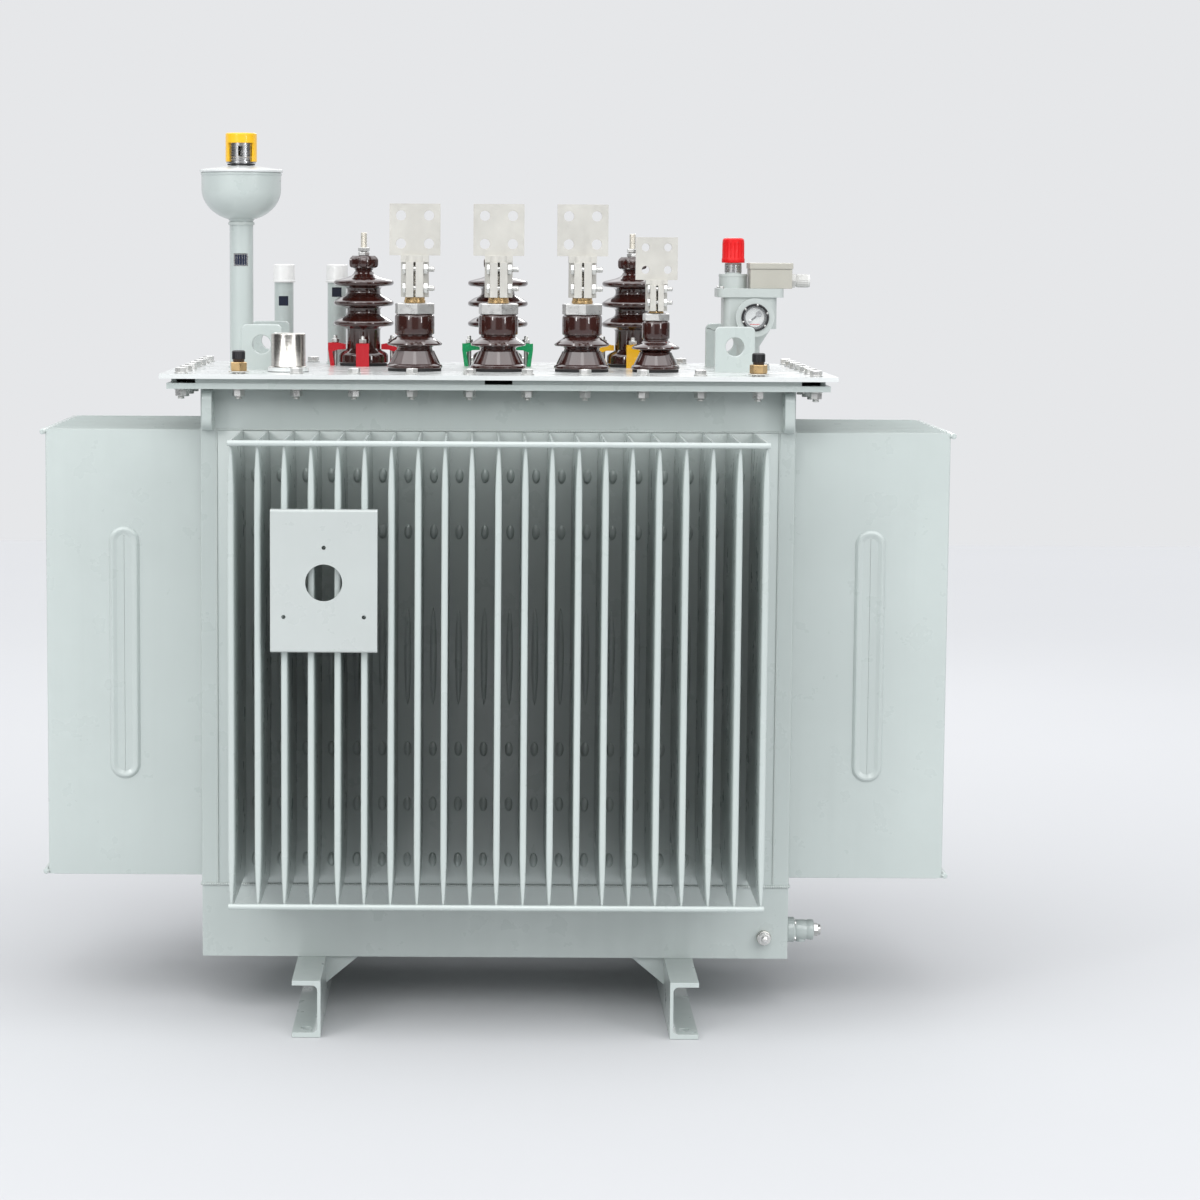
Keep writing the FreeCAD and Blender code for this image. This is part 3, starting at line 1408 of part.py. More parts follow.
def core_clamps():
    """Four clamp bars along the yokes; the lower pair stands on the pan."""
    low, window_low, window_high, top = core_levels()
    end = limb_pitch + core_end_reach
    bars = []
    for side in (-1, 1):
        y0 = yoke_depth / 2
        y1 = y0 + clamp_thick
        lower = box(-end, end, y0, y1, low, low + clamp_height)
        reach = clamp_foot_width / 2
        feet = [box(x - reach, x + reach, y0, y1 + clamp_foot_reach, pan_top, low)
                for x in limb_centres()]
        upper = box(-end, end, y0, y1, top - clamp_height, top)
        for bar in (join([lower] + feet), upper):
            bars.append(bar if side > 0 else bar.mirror(Vector(0, 0, 0), Vector(0, 1, 0)))
    return bars


def coils(inner, outer):
    low, window_low, window_high, _ = core_levels()
    length = core_window - 2 * coil_margin
    return [pipe(x, 0, window_low + coil_margin, outer, inner, length) for x in limb_centres()]


def winding_supports():
    """Pressboard rings that carry the coils on the lower yoke and hold them off the upper one."""
    _, window_low, window_high, _ = core_levels()
    rings = []
    for x in limb_centres():
        for z in (window_low, window_high - coil_margin):
            rings.append(pipe(x, 0, z, hv_coil_outer - ring_inset, limb_dia + 2 * barrier_play, coil_margin))
        low = window_low + coil_margin
        length = core_window - 2 * coil_margin
        rings.append(pipe(x, 0, low, hv_coil_inner - barrier_play, lv_coil_outer + barrier_play, length))
        rings.append(pipe(x, 0, low, lv_coil_inner - barrier_play, limb_dia + 2 * barrier_play, length))
    return rings


def lead(points, dia):
    """Round conductor along straight runs with ball joints at its corners."""
    solids = []
    for a, b in zip(points, points[1:]):
        run = b.sub(a)
        solids.append(Part.makeCylinder(dia / 2, run.Length, a, run))
    for p in points[1:-1]:
        solids.append(Part.makeSphere(dia / 2, p))
    return join(solids)


def winding_leads():
    """Leads from the coil ends up to the lower ends of the terminal studs."""
    _, _, window_high, _ = core_levels()
    leads = []
    coil_r = hv_coil_outer / 2
    clear_y = coil_r + lead_dia
    z_out = window_high - coil_margin - lead_drop
    for limb, (x, y, b) in zip(limb_centres() + (limb_pitch,), bushing_places()):
        limb_x = limb + (lead_shift if b is phase else neutral_shift)
        stud_low = seat_z - b["below"] - stud_tail
        top = stud_low - lead_rise - (0.0 if b is phase else lead_rise)
        face = math.sqrt(coil_r ** 2 - (limb_x - limb - lead_dia / 2) ** 2) + lead_gap
        leads.append(lead([Vector(limb_x, -face, z_out), Vector(limb_x, -clear_y, z_out),
                           Vector(limb_x, -clear_y, top), Vector(x, y, top), Vector(x, y, stud_low)],
                          lead_dia))
    stud_low = seat_z - hv_below - stud_tail
    for limb, (x, y) in zip(limb_centres(), hv_places()):
        leads.append(lead([Vector(limb, coil_r + lead_gap, z_out), Vector(limb, clear_y, z_out),
                           Vector(limb, clear_y, stud_low - lead_rise), Vector(x, y, stud_low - lead_rise),
                           Vector(x, y, stud_low)], hv_lead_dia))
    return leads


def save(name, solids):
    shape = solids[0] if len(solids) == 1 else Part.makeCompound(solids)
    shape.exportStep("parts/" + name + ".step")


os.makedirs("parts", exist_ok=True)
front_wall, back_wall = long_walls()
left_wall, right_wall = short_walls()
save("foot_channels", foot_channels())
save("tank_base_pan", tank_base_pan())
save("corner_posts", corner_posts())
save("front_fin_wall", [front_wall])
save("back_fin_wall", [back_wall])
save("left_fin_wall", [left_wall])
save("right_fin_wall", [right_wall])
save("fin_tie_rods", fin_tie_rods())
save("tank_rim", tank_rim() + gasket_limiter_bars())
save("tank_lifting_plates", tank_lifting_plates())
save("cover_gasket", cover_gasket())
save("cover_plate", cover_plate())
save("cover_bolts", cover_bolts() + cover_nuts())
save("cover_lifting_lugs", cover_lifting_lugs())
save("lv_porcelains", [lv_porcelain(x, y, b) for x, y, b in bushing_places()])
save("lv_terminal_clamps", [lv_clamp(x, y, b) for x, y, b in bushing_places()])
save("bushing_bolts", lv_clamp_bolts() + hv_claw_bolts())
save("lv_brass_rings", lv_brass_rings())
save("terminal_studs", terminal_studs())
save("terminal_nuts", terminal_nuts())
save("bushing_gaskets", bushing_gaskets())
save("hv_porcelains", [hv_porcelain(x, y) for x, y in hv_places()])
save("hv_claws_red", hv_claws(0))
save("hv_claws_green", hv_claws(1))
save("hv_claws_yellow", hv_claws(2))
save("filler_pipe", filler_pipe())
save("oil_cup", oil_cup())
save("oil_cup_lid", oil_cup_lid())
save("relief_valve_body", relief_valve_body())
save("relief_valve_spring", relief_valve_spring())
save("relief_valve_stem", relief_valve_stem())
save("relief_valve_cap", relief_valve_cap())
save("gauge_tubes", gauge_tubes())
save("gauge_cap_left", gauge_cap(gauge_x[0]))
save("gauge_cap_right", gauge_cap(gauge_x[1]))
save("sight_windows", sight_windows())
save("tap_changer_base", tap_changer_base())
save("tap_changer_cap", tap_changer_cap())
save("tap_changer_knob", tap_changer_knob())
save("tap_changer_switch", tap_changer_switch())
save("relay_body", relay_body())
save("relay_cover", relay_cover())
save("relay_valve_cap", relay_valve_cap())
save("relay_window", relay_window())
save("relay_float", relay_float())
save("junction_box", junction_box())
save("junction_box_lid", junction_box_lid())
save("cable_gland", cable_gland())
save("thermometer_plate", thermometer_plate())
save("drain_valve_body", drain_valve_body())
save("drain_valve_plug", drain_valve_plug())
save("earth_stud", earth_stud())
save("bonding_studs", bonding_studs())
save("bonding_stud_caps", bonding_stud_caps())
save("core", core())
save("core_clamps", core_clamps())
save("lv_windings", coils(lv_coil_inner, lv_coil_outer))
save("hv_windings", coils(hv_coil_inner, hv_coil_outer))
save("winding_insulation", winding_supports())
save("winding_leads", winding_leads())
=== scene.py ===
import math
import bmesh
import bpy
from mathutils import Matrix, Vector


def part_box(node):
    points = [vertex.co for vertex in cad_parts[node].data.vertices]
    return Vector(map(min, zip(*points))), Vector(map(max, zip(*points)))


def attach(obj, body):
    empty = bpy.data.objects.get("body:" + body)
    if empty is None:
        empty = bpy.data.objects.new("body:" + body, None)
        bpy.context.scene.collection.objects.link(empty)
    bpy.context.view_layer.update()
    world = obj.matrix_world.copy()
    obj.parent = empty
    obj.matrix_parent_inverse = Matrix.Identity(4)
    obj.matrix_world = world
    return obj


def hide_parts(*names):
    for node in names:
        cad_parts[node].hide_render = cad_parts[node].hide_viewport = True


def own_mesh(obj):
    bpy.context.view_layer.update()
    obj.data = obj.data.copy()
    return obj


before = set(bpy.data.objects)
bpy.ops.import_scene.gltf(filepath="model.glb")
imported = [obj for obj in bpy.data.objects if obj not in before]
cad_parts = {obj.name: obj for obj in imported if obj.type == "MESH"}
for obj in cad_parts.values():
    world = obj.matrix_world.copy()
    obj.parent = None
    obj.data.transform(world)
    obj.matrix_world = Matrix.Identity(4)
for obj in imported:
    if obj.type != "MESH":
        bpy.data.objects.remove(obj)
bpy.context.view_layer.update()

MM = 0.001

# Heights and sizes in millimetres, the same as those of the fixed frame
COVER_TOP = 1142.0
SEAT = 1147.0
HALF_X = 523.0
HALF_Y = 253.0
WALL_X = HALF_X - 28.0
WALL_Y = HALF_Y - 12.0
BAND_TOP = 229.0
PANEL_TOP = 1042.0
FLANGE_LOW = 1116.0
FIN_LOW = 243.0
FIN_HIGH = 1040.0
FIN_DEPTH = 277.0
FIN_THICK = 11.0
FIN_PITCH = 45.0
FINS_LONG = 21
FINS_SHORT = 11
ROD = 10.0
DOME_HEIGHTS = (963.0, 864.0, 477.0, 378.0, 277.0)
LONG_DOME_HEIGHT = 642.5
BEAD_ENDS = (417.0, 868.0)
BOLT_X = 554.0
BOLT_Y = 289.0
BOLTS_LONG = 12
BOLTS_SHORT = 7
PHASE = dict(x=(-150.0, 0.0, 150.0), base=50.0, waist=32.5, shed=49.5, base_high=31.0, shed_high=45.0,
    neck=33.0, cap=35.5, cap_low=60.0, cap_high=96.0, stud=15.0, nut=66.0, nut_high=20.5, ring=19.0,
    ring_high=10.5, barrel=25.0, barrel_high=74.0, bolts=(16.0, 50.0), bolt=10.0)
NEUTRAL = dict(x=(282.5,), base=43.5, waist=26.0, shed=43.0, base_high=30.0, shed_high=40.0, neck=24.0,
    cap=25.0, cap_low=54.0, cap_high=86.0, stud=10.0, nut=44.0, nut_high=14.5, ring=14.0, ring_high=4.0,
    barrel=19.5, barrel_high=55.0, bolts=(15.0, 39.0), bolt=8.0)
LV_Y = -120.0
HV_X = (-250.0, 0.0, 250.0)
HV_Y = 120.0
HV_TOP = 177.0
HV_HEAD = 22.0
CLAW_RADIUS = 53.0
CLAW_HIGH = 37.5
EAR_SHARE = 0.62
FILLER = (-469.0, 0.0)
RELAY = (458.0, 0.0)
TAP = (-372.5, -195.0)
GAUGES = (("left", -404.5), ("right", -304.0))
GAUGE_Y = 215.0
GAUGE_HIGH = 184.0
GAUGE_CAP_HIGH = 34.0
LUG_X = 424.0
LUG_Y = 125.0
FOOT_WEB_X = 302.5
DRAIN_Y = -150.0
DRAIN_Z = 132.0
DRAIN_END = 579.0


# Making and shaping

def deselect():
    bpy.ops.object.select_all(action="DESELECT")


def only(obj):
    deselect()
    obj.select_set(True)
    bpy.context.view_layer.objects.active = obj


def settle(obj):
    """Puts the piece's place, turn and scale into its mesh."""
    only(obj)
    bpy.ops.object.transform_apply(location=True, rotation=True, scale=True)
    return obj


def open_mesh(obj):
    only(obj)
    bpy.ops.object.mode_set(mode="EDIT")
    bpy.ops.mesh.select_all(action="DESELECT")


def close_mesh():
    bpy.ops.object.mode_set(mode="OBJECT")


def choose(kind, test):
    """Selects the faces, edges or corners that pass the test, which reads millimetres."""
    bpy.ops.mesh.select_mode(type=kind)
    bpy.ops.mesh.select_all(action="DESELECT")
    data = bpy.context.object.data
    mesh = bmesh.from_edit_mesh(data)
    if kind == "FACE":
        chosen = [f for f in mesh.faces if test(f.calc_center_median() / MM, f.normal)]
    elif kind == "EDGE":
        chosen = [e for e in mesh.edges if test(e.verts[0].co / MM, e.verts[1].co / MM)]
    else:
        chosen = [v for v in mesh.verts if test(v.co / MM)]
    for part in chosen:
        part.select_set(True)
    mesh.select_flush_mode()
    bmesh.update_edit_mesh(data)


def whole_mesh():
    bpy.ops.mesh.select_mode(type="VERT")
    bpy.ops.mesh.select_all(action="SELECT")


def apply(obj, kind, **settings):
    only(obj)
    modifier = obj.modifiers.new(kind.lower(), kind)
    for key, value in settings.items():
        setattr(modifier, key, value)
    bpy.ops.object.modifier_apply(modifier=modifier.name)
    return obj


def soften(obj, width, segments=2, angle=35.0):
    """Rounds the sharp edges and shades the rest smooth."""
    apply(obj, "BEVEL", width=width * MM, segments=segments, limit_method="ANGLE",
        angle_limit=math.radians(angle))
    return smooth(obj)


def smooth(obj, angle=38.0):
    only(obj)
    bpy.ops.object.shade_smooth_by_angle(angle=math.radians(angle))
    return obj


def block(x0, x1, y0, y1, z0, z1):
    deselect()
    centre = Vector((x0 + x1, y0 + y1, z0 + z1)) * MM / 2
    bpy.ops.mesh.primitive_cube_add(size=1.0, location=centre)
    obj = bpy.context.object
    obj.scale = Vector((x1 - x0, y1 - y0, z1 - z0)) * MM
    return settle(obj)


def turned(outline, sides=40, hollow=False):
    """A piece turned about Z from (radius, height) steps; a hollow one closes on its first step."""
    deselect()
    radius, height = outline[0]
    bpy.ops.mesh.primitive_circle_add(vertices=sides, radius=radius * MM, location=(0, 0, height * MM),
        fill_type="NOTHING" if hollow else "NGON")
    obj = settle(bpy.context.object)
    bpy.ops.object.mode_set(mode="EDIT")
    whole_mesh()
    steps = outline[1:] + outline[:1] if hollow else outline[1:]
    for r, h in steps:
        bpy.ops.mesh.extrude_region_move(TRANSFORM_OT_translate={"value": (0, 0, (h - height) * MM)})
        if abs(r - radius) > 1e-6:
            grow = r / radius
            bpy.ops.transform.resize(value=(grow, grow, 1), center_override=(0, 0, h * MM))
        radius, height = r, h
    whole_mesh()
    if hollow:
        bpy.ops.mesh.remove_doubles(threshold=0.02 * MM)
    bpy.ops.mesh.normals_make_consistent(inside=False)
    close_mesh()
    return obj


def hexagon(flats, height, chamfer=1.0, bore=0.0, material=None):
    """A nut or bolt head on z = 0 with its corners turned off at both ends; zinc plated unless said."""
    corner = flats / math.sqrt(3)
    ring = corner - chamfer * 1.6
    outline = [(ring, 0), (corner, chamfer * 0.7), (corner, height - chamfer * 0.7), (ring, height)]
    if bore:
        outline += [(bore, height), (bore, 0)]
    obj = turned(outline, 6, hollow=bool(bore))
    soften(obj, 0.35, 1, 20.0)
    return coated(smooth(obj, 24.0), material or zinc)


def thread(radius, start, end, pitch=1.75, sides=20):
    """Outline steps of a threaded length with a chamfered end."""
    steps = []
    count = max(1, int((end - start - 1.0) / pitch))
    for i in range(count):
        z = start + i * pitch
        steps += [(radius, z + pitch * 0.12), (radius, z + pitch * 0.4), (radius - pitch * 0.42, z
            + pitch * 0.75)]
    return steps + [(radius - 0.2, end - 1.0), (radius - 1.2, end)]


def lay(obj, axis):
    """Turns a piece built along Z so that it runs along another axis."""
    turns = {"X": (0, math.pi / 2, 0), "-X": (0, -math.pi / 2, 0), "Y": (-math.pi / 2, 0, 0),
        "-Y": (math.pi / 2, 0, 0), "-Z": (math.pi, 0, 0)}
    obj.rotation_euler = turns[axis]
    return settle(obj)


def move(obj, x, y, z):
    obj.location = Vector((x, y, z)) * MM
    return settle(obj)


def copy_of(obj):
    new = obj.copy()
    new.data = obj.data.copy()
    bpy.context.collection.objects.link(new)
    return new


def join(parts):
    deselect()
    for part in parts:
        part.select_set(True)
    bpy.context.view_layer.objects.active = parts[0]
    if len(parts) > 1:
        bpy.ops.object.join()
    return settle(bpy.context.object)


def repeat(obj, places):
    """A copy at each (x, y, z, turn about Z in degrees), joined into one piece."""
    parts = []
    for place in places:
        new = copy_of(obj)
        new.location = Vector(place[:3]) * MM
        new.rotation_euler = (0, 0, math.radians(place[3]) if len(place) > 3 else 0)
        parts.append(new)
    bpy.data.objects.remove(obj)
    return join(parts)


def lathe(outline, sides, material, angle=38.0, hollow=False):
    """A turned piece, shaded smooth up to the angle and given its finish."""
    return coated(smooth(turned(outline, sides, hollow), angle), material)


def round_places(x, y, z, radius, count, first=0.0, *turn):
    """Places evenly round a circle, from the angle first in degrees."""
    angles = [math.radians(360 / count * i + first) for i in range(count)]
    return [(x + radius * math.cos(a), y + radius * math.sin(a), z, *turn) for a in angles]


def grooved(obj, low, high, inside, step, wanted, deep, thick=0.25):
    """Presses upright grooves in, step degrees apart, where wanted says yes to the number of a face."""
    open_mesh(obj)
    choose("FACE", lambda c, n: abs(n.z) < 0.3 and low < c.z < high and c.xy.length > inside
        and wanted(round(math.degrees(math.atan2(c.y, c.x)) / step + 0.5)))
    bpy.ops.mesh.inset(thickness=thick * MM, depth=-deep * MM, use_individual=True)
    close_mesh()
    return obj


def odd(number):
    return number % 2


def coated(obj, material):
    obj.data.materials.clear()
    obj.data.materials.append(material)
    return obj


def keep(obj, name, node, body="tank"):
    """Names a finished piece, hides the frame node it stands for and hangs it on the body it rides on."""
    obj.name = name
    obj.data.name = name
    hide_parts(node)
    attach(obj, body)
    return obj


def dressed(node, width, material, segments=2, angle=30.0, merged=True):
    """A copy of a frame piece with clean faces and rounded edges."""
    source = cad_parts[node]
    obj = source.copy()
    obj.data = source.data.copy()
    bpy.context.collection.objects.link(obj)
    obj.parent = None
    obj.matrix_world = Matrix.Identity(4)
    open_mesh(obj)
    whole_mesh()
    bpy.ops.mesh.remove_doubles(threshold=0.01 * MM)
    if merged:
        bpy.ops.mesh.dissolve_limited(angle_limit=math.radians(0.5))
    close_mesh()
    if obj.data.has_custom_normals:
        only(obj)
        bpy.ops.mesh.customdata_custom_splitnormals_clear()
    coated(obj, material)
    soften(obj, width, segments, angle)
    return apply(obj, "WEIGHTED_NORMAL", keep_sharp=True, weight=100)


def bead(size, subdivisions=1):
    """A small round drop of weld at the origin."""
    deselect()
    bpy.ops.mesh.primitive_ico_sphere_add(subdivisions=subdivisions, radius=size * MM)
    return smooth(settle(bpy.context.object), 60.0)


def ripples(start, end, size=2.4, material=None):
    """A welded seam: a run of small overlapping ripples."""
    a = Vector(start)
    b = Vector(end)
    step = size * 1.35
    count = max(2, round((b - a).length / step))
    obj = move(bead(size), *start)
    apply(obj, "ARRAY", count=count + 1, use_relative_offset=False, use_constant_offset=True,
        constant_offset_displace=(b - a) / count * MM)
    return coated(obj, material)


# Finishes

def noise(tree, source, scale, detail=3.0, rough=0.55):
    node = tree.nodes.new("ShaderNodeTexNoise")
    node.inputs["Scale"].default_value = scale
    node.inputs["Detail"].default_value = detail
    node.inputs["Roughness"].default_value = rough
    tree.links.new(source, node.inputs["Vector"])
    return node.outputs["Fac"]


def spread(tree, value, low, high, to_low, to_high):
    node = tree.nodes.new("ShaderNodeMapRange")
    node.inputs["From Min"].default_value = low
    node.inputs["From Max"].default_value = high
    node.inputs["To Min"].default_value = to_low
    node.inputs["To Max"].default_value = to_high
    tree.links.new(value, node.inputs["Value"])
    return node.outputs["Result"]


def blend(tree, factor, first, second):
    node = tree.nodes.new("ShaderNodeMix")
    node.data_type = "RGBA"
    for socket, value in ((node.inputs[6], first), (node.inputs[7], second)):
        if isinstance(value, tuple):
            socket.default_value = value + (1.0,)
        else:
            tree.links.new(value, socket)
    tree.links.new(factor, node.inputs[0])
    return node.outputs[2]


def shade(colour, factor):
    return tuple(min(1.0, c * factor) for c in colour)


def finish(name, colour, rough, metal=0.0, coat=0.0, tone=0.1, broad=3.0, fine=80.0, grain=500.0, bump=0.12,
        stretch=(1.0, 1.0, 1.0), streak=0.04, wear=None, wear_at=0.66, rough_play=0.08, spec=0.5,
        bands=None, clear=0.0):
    """A finish with broad and fine tone, streaks, worn specks, uneven gloss and a fine surface grain."""
    material = bpy.data.materials.new(name)
    material.use_nodes = True
    tree = material.node_tree
    shader = tree.nodes["Principled BSDF"]
    places = tree.nodes.new("ShaderNodeTexCoord")
    mapping = tree.nodes.new("ShaderNodeMapping")
    mapping.inputs["Scale"].default_value = stretch
    tree.links.new(places.outputs["Object"], mapping.inputs["Vector"])
    here = mapping.outputs["Vector"]
    dark = shade(colour, 1.0 - tone)
    light = shade(colour, 1.0 + tone * 0.6)
    mixed = blend(tree, spread(tree, noise(tree, here, broad), 0.35, 0.65, 0, 1), dark, light)
    mixed = blend(tree, spread(tree, noise(tree, here, fine, 5.0), 0.3, 0.75, 0, 0.35), mixed,
        shade(colour, 1.0 - tone * 0.8))
    if streak:
        runs = tree.nodes.new("ShaderNodeMapping")
        runs.inputs["Scale"].default_value = (30.0, 30.0, 1.2)
        tree.links.new(places.outputs["Object"], runs.inputs["Vector"])
        mixed = blend(tree, spread(tree, noise(tree, runs.outputs["Vector"], 1.5), 0.5, 0.8, 0, streak * 8),
            mixed, shade(colour, 1.0 - 2.2 * tone))
    height = noise(tree, here, grain, 2.0)
    if bands:
        wave = tree.nodes.new("ShaderNodeTexWave")
        wave.bands_direction = bands[0]
        wave.inputs["Scale"].default_value = bands[1]
        wave.inputs["Distortion"].default_value = 0.3
        tree.links.new(places.outputs["Object"], wave.inputs["Vector"])
        height = wave.outputs["Fac"]
        mixed = blend(tree, spread(tree, height, 0.0, 0.5, 0.6, 0.0), mixed, shade(colour, 0.45))
    if wear:
        spots = noise(tree, here, 120.0, 6.0, 0.7)
        zone = noise(tree, here, 7.0, 2.0)
        both = tree.nodes.new("ShaderNodeMath")
        both.operation = "MULTIPLY"
        tree.links.new(spread(tree, spots, wear_at, wear_at + 0.03, 0, 1), both.inputs[0])
        tree.links.new(spread(tree, zone, 0.55, 0.62, 0, 1), both.inputs[1])
        mixed = blend(tree, both.outputs[0], mixed, wear)
    tree.links.new(mixed, shader.inputs["Base Color"])
    gloss = spread(tree, noise(tree, here, fine * 0.6, 4.0), 0.3, 0.7, max(0.02, rough - rough_play), rough
        + rough_play)
    tree.links.new(gloss, shader.inputs["Roughness"])
    relief = tree.nodes.new("ShaderNodeBump")
    relief.inputs["Strength"].default_value = bump
    relief.inputs["Distance"].default_value = 0.0006
    tree.links.new(height, relief.inputs["Height"])
    tree.links.new(relief.outputs["Normal"], shader.inputs["Normal"])
    shader.inputs["Metallic"].default_value = metal
    shader.inputs["Coat Weight"].default_value = coat
    shader.inputs["Coat Roughness"].default_value = 0.04
    shader.inputs["Specular IOR Level"].default_value = spec
    if clear:
        shader.inputs["Alpha"].default_value = 1.0 - clear
    return material


PAINT = (0.468, 0.520, 0.505)
paint = finish("tank_paint", PAINT, 0.32, coat=0.4, tone=0.045, broad=2.2, fine=28.0, grain=420.0,
    bump=0.10, streak=0.03, wear=(0.56, 0.59, 0.58), wear_at=0.735)
cover_paint = finish("cover_paint", (0.67, 0.695, 0.69), 0.30, coat=0.3, tone=0.035, fine=35.0, grain=420.0,
    bump=0.08, wear=(0.55, 0.58, 0.57), wear_at=0.70)
plate_paint = finish("plate_paint", (0.455, 0.49, 0.48), 0.32, coat=0.25, tone=0.03, fine=35.0, grain=420.0,
    bump=0.08, streak=0.02)
weld_paint = finish("weld_paint", (0.46, 0.505, 0.488), 0.38, coat=0.2, tone=0.08, fine=120.0, grain=700.0,
    bump=0.3)
zinc = finish("fastener_zinc", (0.66, 0.66, 0.645), 0.32, metal=0.8, tone=0.09, broad=20.0, fine=160.0,
    grain=900.0, streak=0.0)
glaze = finish("porcelain_brown", (0.034, 0.0085, 0.0062), 0.07, coat=0.9, tone=0.22, broad=12.0, fine=90.0,
    grain=160.0, bump=0.05, streak=0.02, rough_play=0.03)
tin = finish("tinned_terminal", (0.56, 0.55, 0.51), 0.42, metal=0.25, tone=0.07, broad=14.0, fine=110.0,
    grain=800.0, streak=0.02)
stud_tin = finish("stud_metal", (0.66, 0.63, 0.56), 0.28, metal=0.9, tone=0.12, broad=30.0, fine=200.0,
    grain=900.0, bump=0.15)
brass = finish("brass_fitting", (0.72, 0.50, 0.25), 0.30, metal=0.9, tone=0.12, broad=30.0, fine=180.0,
    grain=800.0, streak=0.0)
rubber = finish("black_rubber", (0.018, 0.018, 0.019), 0.62, tone=0.3, broad=10.0, grain=1200.0, bump=0.25,
    streak=0.0, spec=0.3)
claw_red = finish("claw_red", (0.50, 0.006, 0.016), 0.34, coat=0.25, fine=90.0, spec=0.35)
claw_green = finish("claw_green", (0.0, 0.29, 0.095), 0.26, coat=0.5, fine=90.0)
claw_yellow = finish("claw_yellow", (0.86, 0.46, 0.008), 0.26, coat=0.5, fine=90.0)
cap_yellow = finish("cap_yellow", (0.88, 0.50, 0.010), 0.30, coat=0.3, tone=0.06, grain=900.0, bump=0.06)
cap_red = finish("cap_red", (0.66, 0.004, 0.006), 0.46, coat=0.08, tone=0.06, grain=900.0, bump=0.08,
    spec=0.25)
cap_white = finish("cap_white", (0.76, 0.76, 0.75), 0.34, coat=0.2, tone=0.04, grain=900.0, bump=0.06)
cap_black = finish("cap_black", (0.016, 0.016, 0.018), 0.38, tone=0.3, grain=900.0, bump=0.15)
steel = finish("valve_steel", (0.58, 0.585, 0.59), 0.24, metal=1.0, broad=30.0, fine=150.0, grain=1200.0,
    bump=0.08, stretch=(1.0, 1.0, 8.0), streak=0.0)
sight = finish("sight_glass", (0.014, 0.020, 0.045), 0.06, coat=1.0, tone=0.4, fine=60.0, grain=200.0,
    bump=0.02, rough_play=0.02)
clear = finish("relay_glass", (0.90, 0.93, 0.94), 0.03, coat=0.6, tone=0.02, fine=60.0, grain=200.0,
    bump=0.01, streak=0.0, rough_play=0.01, clear=0.85)
stainless = finish("stainless", (0.66, 0.64, 0.60), 0.20, metal=1.0, broad=20.0, fine=90.0, grain=700.0,
    bump=0.06, stretch=(1.0, 1.0, 12.0), streak=0.05, rough_play=0.06)
casting = finish("relay_casting", (0.46, 0.50, 0.485), 0.40, coat=0.2, tone=0.06, fine=60.0, grain=320.0,
    bump=0.32)
beige = finish("box_beige", (0.42, 0.41, 0.36), 0.42, tone=0.06, grain=800.0, bump=0.15)
gland_white = finish("gland_white", (0.62, 0.62, 0.60), 0.42, tone=0.05, grain=800.0)
float_red = finish("float_plastic", (0.70, 0.16, 0.05), 0.45, grain=800.0)
bakelite = finish("knob_bakelite", (0.035, 0.020, 0.014), 0.30, tone=0.3, fine=90.0, grain=600.0, bump=0.08)
tube = finish("switch_tube", (0.34, 0.20, 0.09), 0.45, tone=0.18, grain=300.0, bump=0.2, bands=("Z", 300.0))
core_steel = finish("core_steel", (0.22, 0.24, 0.27), 0.40, metal=0.8, tone=0.12, fine=60.0, bump=0.4,
    bands=("Y", 260.0))
clamp_steel = finish("clamp_steel", (0.07, 0.08, 0.085), 0.50, tone=0.15, fine=50.0, grain=300.0, bump=0.2)
copper = finish("winding_copper", (0.62, 0.27, 0.13), 0.32, metal=0.7, tone=0.15, fine=60.0, bump=0.5,
    bands=("Z", 120.0))
pressboard = finish("pressboard", (0.52, 0.38, 0.21), 0.80, tone=0.15, fine=120.0, bump=0.35)
dial_white = finish("dial_white", (0.74, 0.75, 0.74), 0.40, tone=0.05, fine=60.0, bump=0.05)
floor_grey = finish("studio_floor", (0.606, 0.613, 0.628), 0.90, tone=0.01, broad=0.4, fine=4.0, grain=60.0,
    bump=0.01, streak=0.0, rough_play=0.03, spec=0.0)


# Places that repeat

def cover_bolt_places():
    step_x = 2 * BOLT_X / (BOLTS_LONG - 1)
    step_y = 2 * BOLT_Y / (BOLTS_SHORT - 1)
    long_rows = [(-BOLT_X + i * step_x, side * BOLT_Y) for side in (-1, 1) for i in range(BOLTS_LONG)]
    short_rows = [(side * BOLT_X, -BOLT_Y + i * step_y) for side in (-1, 1) for i in range(1,
        BOLTS_SHORT - 1)]
    return long_rows + short_rows


BONDED = [(side * (BOLT_X - 2 * BOLT_X / (BOLTS_LONG - 1)), -BOLT_Y) for side in (-1, 1)]
LV = [(x, PHASE) for x in PHASE["x"]] + [(NEUTRAL["x"][0], NEUTRAL)]
CLAWS = [(x + CLAW_RADIUS * c, HV_Y + CLAW_RADIUS * s, turn)
    for x in HV_X for c, s, turn in ((1, 0, 0), (0, 1, 90), (-1, 0, 180), (0, -1, 270))]


# Corrugated walls

